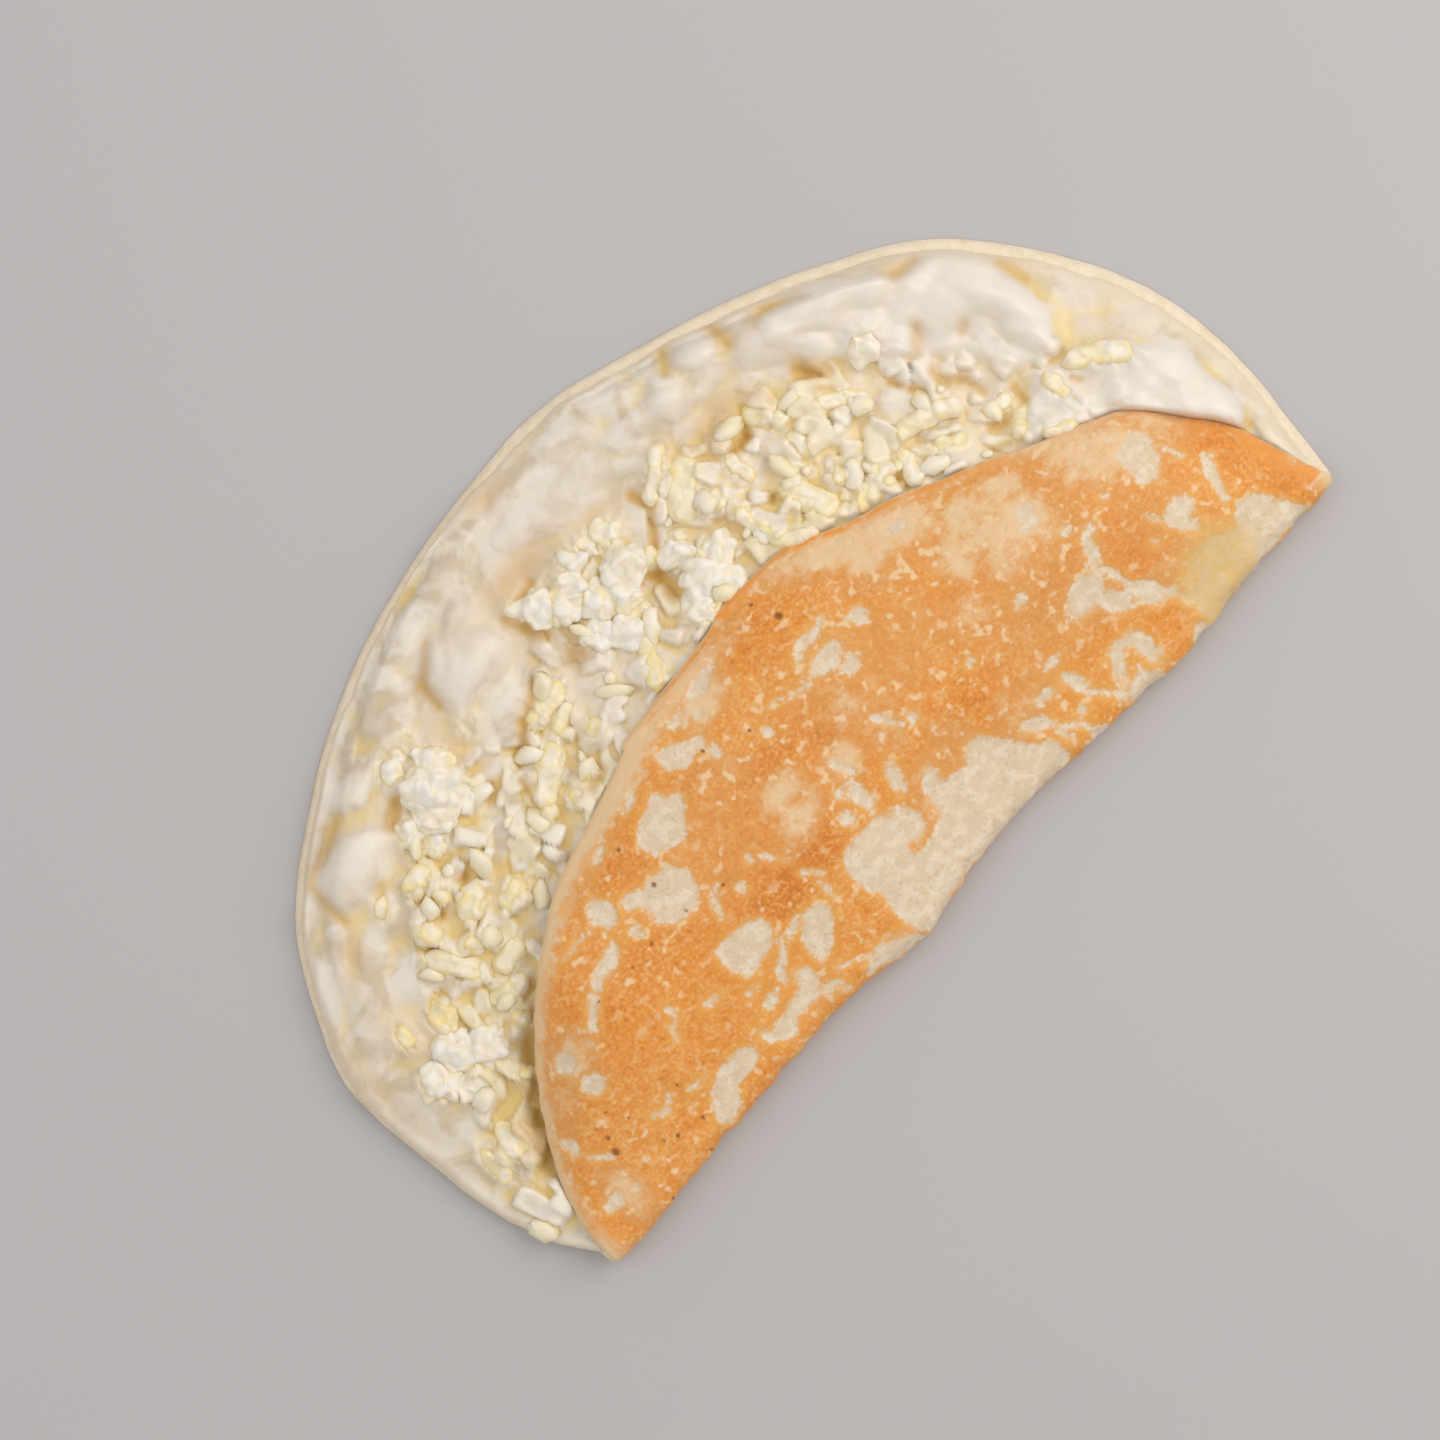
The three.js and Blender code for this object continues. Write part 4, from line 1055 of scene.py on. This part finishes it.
def frozen_flakes(x, y):
    """Height of tilted flakes that have sunk into the curd band, and how yellow each one is."""
    rng = np.random.default_rng(SEED + 1)
    height = np.full_like(x, FLAKE_BED)
    tint = np.zeros_like(x)
    for _ in range(FLAKE_COUNT):
        east, north = x - rng.uniform(*FLAKE_FIELD[0]), y - rng.uniform(*FLAKE_FIELD[1])
        half, turn = rng.uniform(1.3, 2.7), rng.uniform(0, math.tau)
        length = half * rng.uniform(1.1, 2.5)
        along = (east * math.cos(turn) + north * math.sin(turn)) / length
        aside = (north * math.cos(turn) - east * math.sin(turn)) / half
        aside = aside / (1 - 0.3 * np.clip(along, -1, 1))
        inside = np.clip((1 - (along**4 + aside**4) ** 0.25) * half / FLAKE_SHOULDER, 0, 1)
        tilt = rng.normal(0, FLAKE_SLOPE) * along * length
        tilt = tilt + rng.normal(0, FLAKE_SLOPE) * aside * half
        flake = np.clip(rng.uniform(1.4, 3.2) + tilt, 0, 3.8) * np.sqrt(1 - (1 - inside) ** 2)
        tint = np.where(flake > height, rng.uniform(0, 1), tint)
        height = np.maximum(height, flake)
    return height, tint


def nearness_to_pieces(x, y):
    """1 under a strand or a curd, falling to 0 a little way beside it."""
    names = [n for n in sorted(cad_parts) if n.startswith(("shred_", "curd_"))]
    places = [v.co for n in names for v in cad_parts[n].data.vertices]
    finder = KDTree(len(places))
    for index, place in enumerate(places):
        finder.insert((place.x / MM - SHIFT[0], place.y / MM - SHIFT[1], 0), index)
    finder.balance()
    flat = zip(x.ravel(), y.ravel())
    distances = np.array([finder.find((px, py, 0))[2] for px, py in flat]).reshape(x.shape)
    return np.clip(1 - distances / MENISCUS_REACH, 0, 1) ** 2


def layer_height(x, y, base, flakes):
    """Top of the melted layer: the base, with pillows, flakes and creases."""
    softness, spread, share = 0.32, 1.12, 0.92  # of the pillows' joins, widths and heights
    push_x, push_y, _ = warp(x, y, 0, 9, 1.6)
    total = np.ones_like(x)
    for *shape, rise in PILLOWS:
        outside = ellipse_distance(x + push_x, y + push_y, shape)
        inside = np.clip(spread - outside / (min(shape[2], shape[3]) * spread) - 1, 0, 1)
        dome = rise * share * (1 - (1 - inside) ** 2.4)
        total += np.exp(dome / softness) - 1
    height = base + softness * np.log(total)
    smooth = np.ones_like(x)
    for rise, outline in HEAPS:
        inside = -outline_distance(x + 0.5 * push_x, y + 0.5 * push_y, outline)
        height = height + rise * smoothstep(-0.3, 2.6, inside)
        smooth -= 0.6 * smoothstep(-0.5, 2.0, inside)
        folds = 0.5 * ripple(x / 1.6, y, 2, 4, 2)
        height = height + folds * smoothstep(0, 4, inside)
    band = in_curd_band(x, y) * np.clip(smooth, 0, 1)
    height = blurred(height, 2) + band * (flakes - FLAKE_LEVEL)
    height += (0.2 + 0.25 * band) * ripple(x, y, 0, 4.5, 3)
    height += 0.55 * ripple(x, y, 7, 12, 2)
    for *ends, width, depth in CREASES:
        height -= 0.75 * depth * fading(line_distance(x, y, *ends), 1.15 * width)
    return height


def layer_grid(settings, bottom, top):
    """Points of the melted layer's grid and its ends beside them; few rows lie under the flap."""
    hidden_rows, cover = 0.2, 7.0
    v = ease_ends(np.linspace(0, 1, settings.rows + 1), 0.2)[:, None]
    u = ease_ends(np.linspace(0, 1, settings.columns + 1), 0.3)[None, :]
    left, right = layer_edges(mix(bottom, top, v))
    brow = np.maximum(read_curve(FLAP_EDGE, mix(left, right, u)) - cover, bottom + cover)
    under, clear = v / hidden_rows, (v - hidden_rows) / (1 - hidden_rows)
    y = np.where(under < 1, mix(bottom, brow, under), mix(brow, top, clear))
    left, right = layer_edges(y)
    return mix(left, right, u), y, left, right


def layer_marks(x, y, height, near, tint):
    """Fields that drive the melted layer's colours and what is strewn on it."""
    band = in_curd_band(x, y)
    heaps = [smoothstep(0.6, -1.2, outline_distance(x, y, outline)) for _, outline in HEAPS]
    # The creases' fat and painted shade, full once a crease is deep enough.
    creases = [
        min(1, depth / OIL_AND_SHADE_DEPTH) * fading(line_distance(x, y, *ends), 1.2 * width)
        for *ends, width, depth in CREASES
    ]
    past_flap = y - read_curve(FLAP_EDGE, x)
    return {
        # Depth below the smoothed surface: painted shade with fat in the hollows, a painted
        # highlight on the crests.
        "hollow": blurred(height, 30) - height,
        "thin": area_field(x, y, THIN_AREAS, 1, 0.8),
        "whiteness": np.max([area_field(x, y, WHITE_AREAS, 0.5, 1.6), *heaps], 0),
        "oil": np.max(creases, 0),
        # Nearness to the strands and curds: it raises the layer there and lays painted shade with
        # fat round them.
        "near": near,
        "band": band,
        "tint": tint * band,
        "strewn": band**2 * smoothstep(0.8, 2.5, past_flap) * (1 - np.max(heaps, 0)),
    }


def make_melted_layer(settings, bread):
    """The melted layer as a closed mesh whose top is a height grid."""
    thickness = bread.thickness / MM
    top, bottom = LEAF_TOP_Y - BARE_RIM, FOLD_Y + INSIDE_FOLD
    x, even_y, left, right = layer_grid(settings, bottom, top)
    y = even_y + read_curve(FOLD_WANDER, x) * smoothstep(-20, FLAP_START, even_y)
    y = y + (0.9 * ripple(x, 0, 3, 8, 2)) * smoothstep(30, top, y)

    inner = np.stack((np.clip(x, left + 6, right - 6), np.minimum(y, LEAF_TOP_Y - 6)), 2)
    frame_layer = Ground(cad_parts["melted_cheese"].data)
    base = frame_layer.height(inner.reshape(-1, 2) + SHIFT[:2], np.full(x.size, thickness))
    base = blurred(base.reshape(x.shape), 14)
    flakes, tint = frozen_flakes(x + 0.3 * ripple(x, y, 0, 2, 2), y)
    near = nearness_to_pieces(x, y)
    height = layer_height(x, y, base, flakes) + MENISCUS * near

    edge = np.minimum(np.minimum(x - left, right - x), 1.4 * (top - even_y))
    edge = np.minimum(edge, even_y - bottom)
    brim_width = mix(*BRIM_WIDTH, smoothstep(-60, 60, x))
    round_edge = (1 - (1 - np.clip(edge / brim_width, 0, 1)) ** 2) ** 0.7
    height = mix(thickness - BRIM_DROP, height, round_edge)
    roof = flap_middle(x, y, thickness) - thickness / 2 - ROOF_GAP
    under_flap = smoothstep(1.5, -1, y - read_curve(FLAP_EDGE, x))
    height = mix(height, np.minimum(height, roof), under_flap)

    points = np.stack((x, y, height), 2).reshape(-1, 3)
    loop = border_loop(settings.rows, settings.columns)
    rim = points[loop].copy()
    rim[:, 2] = thickness - FOOT_DROP
    lower = list(range(len(points), len(points) + len(loop)))
    faces = grid_faces(settings.rows, settings.columns) + band_faces(lower, loop)
    faces.append(tuple(reversed(lower)))
    marks = layer_marks(x, y, height, near, tint)
    marks["brink"] = smoothstep(brim_width, 0.4, edge)
    attributes = {k: np.concatenate((v.ravel(), v.ravel()[loop])) for k, v in marks.items()}
    return make_piece("melted_layer", np.concatenate((points, rim)), faces, attributes)


def fatty_surface(tree, place, colour):
    """Cheese: satin with a film of fat, and light passes a little way into it."""
    mottle = add_node(
        tree, "ShaderNodeTexNoise",
        {"Vector": place, "Scale": 1 / 2.2, "Detail": 3.0, "Roughness": 0.55},
    )
    fine = add_node(tree, "ShaderNodeTexNoise", {"Vector": place, "Scale": 1 / 0.7})
    roughness = add_node(
        tree, "ShaderNodeMapRange",
        {"Value": mottle, "From Min": 0.3, "From Max": 0.7, "To Min": 0.3, "To Max": 0.46},
    )
    relief = add_node(
        tree, "ShaderNodeMath", {0: fine, 1: 0.4, 2: mottle}, operation="MULTIPLY_ADD"
    )
    bump = add_node(
        tree, "ShaderNodeBump", {"Height": relief, "Strength": 0.25, "Distance": 0.4 * MM}
    )
    surface = add_node(
        tree, "ShaderNodeBsdfPrincipled",
        {"Base Color": colour, "Roughness": roughness, "Normal": bump, "Specular IOR Level": 0.45,
         "Subsurface Weight": 0.6, "Subsurface Radius": (1.0, 0.85, 0.65),
         "Subsurface Scale": SCATTER_DEPTH * MM},
    )
    add_node(tree, "ShaderNodeOutputMaterial", {"Surface": surface})


def painted(tree, body, coats):
    """Lays coats over a body colour; each shows more as its source runs from low to high."""
    for source, low, high, most, coat in coats:
        part = add_node(
            tree, "ShaderNodeMapRange",
            {"Value": source, "From Min": low, "From Max": high, "To Max": most},
        )
        body = add_node(
            tree, "ShaderNodeMix", {0: part, MIX_BELOW: body, MIX_ABOVE: linear(coat)}, MIX_RESULT,
            data_type="RGBA",
        )
    return body


def melted_material(settings):
    """Melted semi-hard cheese, poured and set: creamy on the pillows with a painted highlight on
    their crests, tan where it lies thin over the bread, and yellow with fat and painted shade
    between the lumps, in the creases and beside the strands and curds."""
    material, tree = new_material("melted_cheese_satin")
    place = millimetre_coordinates(tree)
    cloud = add_node(
        tree, "ShaderNodeTexNoise",
        {"Vector": place, "Scale": 1 / 9, "Detail": 3.0, "Roughness": 0.55, "Distortion": 0.5},
    )
    marks = {}
    for label in ("hollow", "thin", "whiteness", "brink", "near", "oil", "band", "tint"):
        marks[label] = add_node(tree, "ShaderNodeAttribute", output="Fac", attribute_name=label)
    # How much painted shade with fat shows in the hollows, how much painted highlight on the
    # crests, and how much painted shade with fat at the pieces' foot.
    shares = ((marks["band"], 0.1, 0.7), (marks["band"], 0.3, 0.7), (cloud, 1.2, -0.2))
    hollow_shade_share, highlight_share, foot_shade_share = [
        add_node(tree, "ShaderNodeMath", dict(enumerate(share)), operation="MULTIPLY_ADD")
        for share in shares
    ]
    coats = (  # source, low, high, how much shows at most, colour
        (cloud, 0.42, 0.56, 1, settings.white),
        # Painted highlight on the crests.
        (marks["hollow"], -0.05, -0.7, highlight_share, settings.crest_highlight_and_cloud),
        (marks["thin"], 0, 1, 0.9, settings.tan),
        (marks["tint"], 0.45, 0.75, 0.8, settings.strand),
        # Painted shade with fat between the lumps.
        (marks["hollow"], 0.05, 0.8, hollow_shade_share, settings.hollow),
        # Painted shade with fat beside the strands and curds.
        (marks["near"], 0, 1, foot_shade_share, settings.foot),
        (marks["whiteness"], 0, 1, 0.85, settings.thick),
        (marks["brink"], 0, 1, 0.8, settings.brink),
        # Painted shade with fat in the creases and along the flap's left edge.
        (marks["oil"], 0, 1, 0.7, settings.oil),
    )
    fatty_surface(tree, place, painted(tree, linear(settings.cream), coats))
    return material


def solid_cheese_material(settings, name, base, yellow_part):
    """Cheese that has softened but kept its shape: white on top, yellow at its foot and between
    its grains, where fat and painted shade are laid on.
    """
    material, tree = new_material(name)
    place = millimetre_coordinates(tree)
    cloud = add_node(
        tree, "ShaderNodeTexNoise", {"Vector": place, "Scale": 1 / 7, "Distortion": 0.3}
    )
    lift = add_node(tree, "ShaderNodeAttribute", output="Fac", attribute_name="lift")
    crease = add_node(tree, "ShaderNodeAttribute", output="Fac", attribute_name="crease")
    coats = (  # source, low, high, how much shows at most, colour
        # Random milky clouds, then painted shade between the grains.
        (cloud, 0.42, 0.6, 1, settings.crest_highlight_and_cloud), (crease, 0.5, 1, yellow_part, settings.grain_gap_shade),
        # Fat and painted shade at the foot, by the lift above the melted layer.
        (lift, 1.1, 0.1, yellow_part, settings.fat_and_shade),
    )
    fatty_surface(tree, place, painted(tree, linear(base), coats))
    return material


# ---- strands and curds ----------------------------------------------------------------------


def remeshed_copy(node_name, name, voxel, smoothing):
    """A fine, rounded copy of a frame node, made of even quads."""
    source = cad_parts[node_name]
    mesh = source.data.copy()
    mesh.name = name
    bm = bmesh.new()
    bm.from_mesh(mesh)
    bmesh.ops.remove_doubles(bm, verts=bm.verts, dist=1e-6)
    bm.to_mesh(mesh)
    bm.free()
    mesh.materials.clear()
    piece = new_object(name, mesh)
    remesh = piece.modifiers.new("even_mesh", "REMESH")
    remesh.mode = "VOXEL"
    remesh.voxel_size = voxel
    smooth = piece.modifiers.new("round_off", "SMOOTH")
    smooth.factor = 0.5
    smooth.iterations = smoothing
    return apply_modifiers(piece)


def relaxed(points, edges, times):
    """Points moved towards the middle of their neighbours, a number of times."""
    ends = np.concatenate((edges, edges[:, ::-1]))
    counts = np.bincount(ends[:, 0], minlength=len(points))[:, None]
    for _ in range(times):
        total = np.stack(
            [np.bincount(ends[:, 0], points[ends[:, 1], k], len(points)) for k in range(3)], 1
        )
        points = mix(points, total / counts, 0.6)
    return points


# Lift above the melted layer past which it no longer counts, and the share of the layer's bumps
# that a piece lying on it follows.
HIGHEST_LIFT = 6
SUPPLENESS = 0.3
# How each kind of piece is made uneven, in millimetres: smoothing rounds of its even mesh,
# sideways bends as (size, reach), relaxing rounds, lumps and rounded cells as (size, height), how
# far its surface swells and how deep it sinks into the melted layer.
STRAND_SURFACE = {
    "smoothing": 1, "bends": ((6, 1.0), (2.6, 0.3)), "rounds": 0, "lumps": (3.4, 0.25),
    "cells": (3, 0), "swell": 0.65, "sink": 1.9,
}
CURD_SURFACE = {
    "smoothing": 16, "bends": ((5, 1.4), (2.4, 0.5)), "rounds": 1, "lumps": (4, 0.5),
    "cells": (3.4, 1.1), "swell": 0.9, "sink": 2.4,
}


def settle(piece, frame_layer, ground, surface):
    """Gives a remeshed piece its uneven surface and lays it on the finished melted layer."""
    mesh = piece.data
    points = read_vectors(mesh.vertices, "co") / MM
    normals = read_vectors(mesh.vertex_normals, "vector")
    edges = np.array([edge.vertices[:] for edge in mesh.edges])
    for size, reach in surface["bends"]:
        points = points + np.stack(warp(*points.T, size, reach), 1)
    points = relaxed(points, edges, surface["rounds"])
    size, height = surface["lumps"]
    offset = surface["swell"] + height * ripple(*points.T, size, 2)
    size, height = surface["cells"]
    cells = [noise.voronoi(point)[0] for point in points / size]
    billows = np.clip([1.8 * (second - first) for first, second, *_ in cells], 0, 1) ** 0.6
    offset = offset + height * (billows - 0.6)
    points = relaxed(points + normals * offset[:, None], edges, 1)
    before = frame_layer.height(points, np.full(len(points), SHEET_THICKNESS))
    after = ground.height(points, before)
    points[:, 2] += mix(np.median(after - before), after - before, SUPPLENESS) - surface["sink"]
    mesh.vertices.foreach_set("co", (points * MM).ravel())
    mark_lift(mesh, ground)
    # Low between the rounded cells: where a piece gets painted shade between its grains.
    store_values(mesh, "crease", 1 - billows)
    mesh.shade_smooth()
    mesh.update()


def mark_lift(mesh, ground):
    """Stores each vertex's height above the melted layer."""
    points = read_vectors(mesh.vertices, "co") / MM
    lift = points[:, 2] - ground.height(points, points[:, 2] - 1)
    store_values(mesh, "lift", np.clip(lift, 0, HIGHEST_LIFT))


# Points per square metre that the scatter starts from, before their spacing thins them; and for
# each lump its corners, how much narrower its top is, how far it leans in radians, and the size of
# the bends that make it uneven.
CROWDED = 4e5
LUMP_CORNERS = 5
LUMP_TAPER = 0.8
LUMP_LEAN = 0.3
LUMP_BENDS = 5


def scatter_tree():
    """Node tree that strews small uneven lumps over a surface, by its strewn attribute."""
    tree = bpy.data.node_groups.new("strewn_lumps", "GeometryNodeTree")
    for label, kind in (
        ("Geometry", "Geometry"), ("Radius", "Float"), ("Depth", "Float"), ("Spacing", "Float"),
        ("Smallest", "Vector"), ("Largest", "Vector"), ("Unevenness", "Float"), ("Seed", "Int"),
        ("Material", "Material"),
    ):
        tree.interface.new_socket(name=label, in_out="INPUT", socket_type="NodeSocket" + kind)
    tree.interface.new_socket(name="Geometry", in_out="OUTPUT", socket_type="NodeSocketGeometry")
    start = tree.nodes.new("NodeGroupInput").outputs
    band = add_node(
        tree, "GeometryNodeInputNamedAttribute", {"Name": "strewn"}, data_type="FLOAT"
    )
    points = add_node(
        tree, "GeometryNodeDistributePointsOnFaces",
        {"Mesh": start["Geometry"], "Distance Min": start["Spacing"], "Density Max": CROWDED,
         "Density Factor": band, "Seed": start["Seed"]},
        distribute_method="POISSON",
    )
    upright = points.node.outputs["Rotation"]
    narrower = add_node(
        tree, "ShaderNodeMath", {0: start["Radius"], 1: LUMP_TAPER}, operation="MULTIPLY"
    )
    block = add_node(
        tree, "GeometryNodeMeshCone",
        {"Vertices": LUMP_CORNERS, "Radius Top": narrower, "Radius Bottom": start["Radius"],
         "Depth": start["Depth"]},
    )
    half_down = add_node(
        tree, "ShaderNodeVectorMath", {0: (0, 0, -0.5), "Scale": start["Depth"]}, operation="SCALE"
    )
    sunk = add_node(
        tree, "GeometryNodeTransform", {"Geometry": block, "Translation": half_down}
    )
    rounded = add_node(
        tree, "GeometryNodeSubdivisionSurface", {"Mesh": sunk, "Level": 1, "Edge Crease": 0.6}
    )
    turn = add_node(
        tree, "FunctionNodeRandomValue",
        {0: (-LUMP_LEAN, -LUMP_LEAN, 0), 1: (LUMP_LEAN, LUMP_LEAN, math.tau),
         "Seed": start["Seed"]},
        data_type="FLOAT_VECTOR",
    )
    spin = add_node(tree, "FunctionNodeEulerToRotation", {"Euler": turn})
    rotation = add_node(
        tree, "FunctionNodeRotateRotation", {"Rotation": upright, "Rotate By": spin},
        rotation_space="LOCAL",
    )
    scale = add_node(
        tree, "FunctionNodeRandomValue", {0: start["Smallest"], 1: start["Largest"]},
        data_type="FLOAT_VECTOR",
    )
    strewn = add_node(
        tree, "GeometryNodeInstanceOnPoints",
        {"Points": points, "Instance": rounded, "Rotation": rotation, "Scale": scale},
    )
    real = add_node(tree, "GeometryNodeRealizeInstances", {"Geometry": strewn})
    bends = add_node(
        tree, "ShaderNodeTexNoise", {"Scale": 1 / (LUMP_BENDS * MM), "Detail": 1.0},
        output="Color",
    )
    centred = add_node(
        tree, "ShaderNodeVectorMath", {0: bends, 1: (0.5, 0.5, 0.5)}, operation="SUBTRACT"
    )
    push = add_node(
        tree, "ShaderNodeVectorMath", {0: centred, "Scale": start["Unevenness"]}, operation="SCALE"
    )
    bent = add_node(tree, "GeometryNodeSetPosition", {"Geometry": real, "Offset": push})
    smooth = add_node(tree, "GeometryNodeSetShadeSmooth", {"Geometry": bent})
    finish = add_node(
        tree, "GeometryNodeSetMaterial", {"Geometry": smooth, "Material": start["Material"]}
    )
    add_node(tree, "NodeGroupOutput", {"Geometry": finish})
    return tree


def strew(name, ground_mesh, tree, values):
    """Runs a scatter tree over a copy of the melted layer and keeps only what it strews."""
    piece = new_object(name, ground_mesh.copy())
    modifier = piece.modifiers.new("strewn", "NODES")
    modifier.node_group = tree
    for item in tree.interface.items_tree:
        if item.in_out == "INPUT" and item.name in values:
            modifier[item.identifier] = values[item.name]
    return apply_modifiers(piece)


# ---- operators ------------------------------------------------------------------------------


def finish_piece(piece, material, node_names):
    """Gives a piece its material and ties it to the frame."""
    piece.data.materials.clear()
    piece.data.materials.append(material)
    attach(piece, "root")
    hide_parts(*node_names)


class FLATBREAD_OT_bake_sheet(bpy.types.Operator):
    """Bake the folded sheet of bread"""

    bl_idname = "flatbread.bake_sheet"
    bl_label = "Bake the sheet"

    def execute(self, context):
        settings = context.scene.flatbread_bread
        piece = make_bread(settings)
        finish_piece(piece, bread_material(settings), ["flatbread"])
        return {"FINISHED"}


class FLATBREAD_OT_melt_layer(bpy.types.Operator):
    """Melt the cheese layer that fills the fold"""

    bl_idname = "flatbread.melt_layer"
    bl_label = "Melt the layer"

    def execute(self, context):
        settings = context.scene.flatbread_cheese
        piece = make_melted_layer(settings, context.scene.flatbread_bread)
        finish_piece(piece, melted_material(settings), ["melted_cheese"])
        return {"FINISHED"}


class FLATBREAD_OT_lay_strands(bpy.types.Operator):
    """Lay the curds and the grated strands on the melted layer"""

    bl_idname = "flatbread.lay_strands"
    bl_label = "Lay curds and strands"

    def execute(self, context):
        settings = context.scene.flatbread_cheese
        ground = Ground(bpy.data.objects["melted_layer"].data)
        frame_layer = Ground(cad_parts["melted_cheese"].data)
        strand = solid_cheese_material(settings, "softened_strand", settings.strand, 0.7)
        curd = solid_cheese_material(settings, "fresh_curd", settings.curd, 0.5)
        kinds = (
            ("shred_", "strand_", settings.strand_voxel, STRAND_SURFACE, strand, "grated_cheese"),
            ("curd_", "soft_curd_", settings.curd_voxel, CURD_SURFACE, curd, "soft_curd"),
        )
        for prefix, new_prefix, voxel, surface, material, slot in kinds:
            for node_name in sorted(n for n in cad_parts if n.startswith(prefix)):
                name = node_name.replace(prefix, new_prefix)
                piece = remeshed_copy(node_name, name, voxel, surface["smoothing"])
                settle(piece, frame_layer, ground, surface)
                finish_piece(piece, material, [node_name])
        return {"FINISHED"}


class FLATBREAD_OT_strew_crumbs(bpy.types.Operator):
    """Strew short flakes and small crumbs over the curd band"""

    bl_idname = "flatbread.strew_crumbs"
    bl_label = "Strew flakes and crumbs"

    def execute(self, context):
        melted = bpy.data.objects["melted_layer"].data
        ground = Ground(melted)
        material = bpy.data.materials["softened_strand"]
        tree = scatter_tree()
        kinds = (  # name, radius, depth, spacing, smallest and largest scale, unevenness
            ("short_flakes", 3.2, 4.0, 14, (1.0, 0.6, 0.8), (2.0, 1.0, 1.1), 3.4),
            ("small_crumbs", 1.9, 2.8, 17, (0.7, 0.6, 0.7), (1.4, 1.1, 1.1), 2.2),
        )
        for seed, (name, radius, depth, spacing, least, most, uneven) in enumerate(kinds):
            piece = strew(
                name, melted, tree,
                {"Radius": radius * MM, "Depth": depth * MM, "Spacing": spacing * MM,
                 "Smallest": least, "Largest": most, "Unevenness": uneven * MM,
                 "Seed": SEED + seed, "Material": material},
            )
            mark_lift(piece.data, ground)
            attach(piece, "root")
        return {"FINISHED"}


# Width of the floor in metres, and the point of the drawing in the middle of the view.
FLOOR_WIDTH = 6.0
VIEW_CENTRE = (-10.55, -4.0, 0)
# The lights' places and widths in metres, and their colours.
WINDOW = (0.6, -0.17, 0.72), 0.95, (1.0, 0.98, 0.95)
FILL = (-0.5, 0.5, 0.9), 0.8, (1.0, 0.98, 0.96)


def add_area_light(name, place, size, colour, power):
    """A round area light at a place, aimed at the part."""
    light = bpy.data.lights.new(name, "AREA")
    light.shape = "DISK"
    light.size = size
    light.energy = power
    light.color = colour
    lamp = new_object(name, light)
    lamp.location = place
    lamp.rotation_mode = "QUATERNION"
    lamp.rotation_quaternion = (-Vector(place)).to_track_quat("-Z", "Y")


def floor_material(settings):
    """Painted studio floor, rolled on: matt pale grey that takes soft shadows and no gloss."""
    material, tree = new_material("painted_floor")
    surface = add_node(
        tree, "ShaderNodeBsdfPrincipled",
        {"Base Color": linear(settings.floor), "Roughness": 0.8},
    )
    add_node(tree, "ShaderNodeOutputMaterial", {"Surface": surface})
    return material


class FLATBREAD_OT_set_stage(bpy.types.Operator):
    """Set the floor, the lights and the camera"""

    bl_idname = "flatbread.set_stage"
    bl_label = "Set the stage"

    def execute(self, context):
        settings = context.scene.flatbread_stage
        half = FLOOR_WIDTH / 2
        corners = [(-half, -half, 0), (half, -half, 0), (half, half, 0), (-half, half, 0)]
        mesh = bpy.data.meshes.new("floor")
        mesh.from_pydata(corners, [], [(0, 1, 2, 3)])
        mesh.materials.append(floor_material(settings))
        new_object("floor", mesh)

        world = bpy.data.worlds.new("soft_room")
        world.use_nodes = True
        background = world.node_tree.nodes["Background"]
        background.inputs["Color"].default_value = (1.0, 0.985, 0.965, 1)
        background.inputs["Strength"].default_value = settings.room_light
        context.scene.world = world
        add_area_light("window", *WINDOW, settings.window_power)
        add_area_light("fill", *FILL, settings.fill_power)

        camera_data = bpy.data.cameras.new("camera")
        camera_data.lens = camera_data.sensor_width * settings.camera_height / settings.view_width
        camera = new_object("camera", camera_data)
        centre = np.array(VIEW_CENTRE) + SHIFT
        camera.location = (centre[0] * MM, centre[1] * MM, settings.camera_height)
        camera.rotation_euler = Euler((0, 0, settings.turn))
        camera_data.clip_start = 0.05
        context.scene.camera = camera
        context.scene.view_settings.view_transform = "Standard"
        return {"FINISHED"}


class FLATBREAD_PT_panel(bpy.types.Panel):
    """Lists the steps that build the flatbread"""

    bl_idname = "FLATBREAD_PT_panel"
    bl_label = "Cheese Flatbread"
    bl_space_type = "VIEW_3D"
    bl_region_type = "UI"
    bl_category = "Flatbread"

    def draw(self, context):
        """One button for each step."""
        for operator in OPERATORS:
            self.layout.operator(operator.bl_idname)


SETTINGS = (
    ("flatbread_bread", BreadSettings),
    ("flatbread_cheese", CheeseSettings),
    ("flatbread_stage", StageSettings),
)
OPERATORS = (
    FLATBREAD_OT_bake_sheet,
    FLATBREAD_OT_melt_layer,
    FLATBREAD_OT_lay_strands,
    FLATBREAD_OT_strew_crumbs,
    FLATBREAD_OT_set_stage,
)
CLASSES = tuple(group for _, group in SETTINGS) + OPERATORS + (FLATBREAD_PT_panel,)


def register():
    """Registers the classes and ties the settings to the scene."""
    for item in CLASSES:
        bpy.utils.register_class(item)
    for name, group in SETTINGS:
        setattr(bpy.types.Scene, name, bpy.props.PointerProperty(type=group))


def unregister():
    """Takes the settings and the classes away again."""
    for name, _ in SETTINGS:
        delattr(bpy.types.Scene, name)
    for item in reversed(CLASSES):
        bpy.utils.unregister_class(item)


def main():
    """Builds the flatbread on its stage."""
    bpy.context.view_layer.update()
    register()
    bpy.ops.flatbread.bake_sheet()
    bpy.ops.flatbread.melt_layer()
    bpy.ops.flatbread.lay_strands()
    bpy.ops.flatbread.strew_crumbs()
    bpy.ops.flatbread.set_stage()


if __name__ == "__main__":
    main()
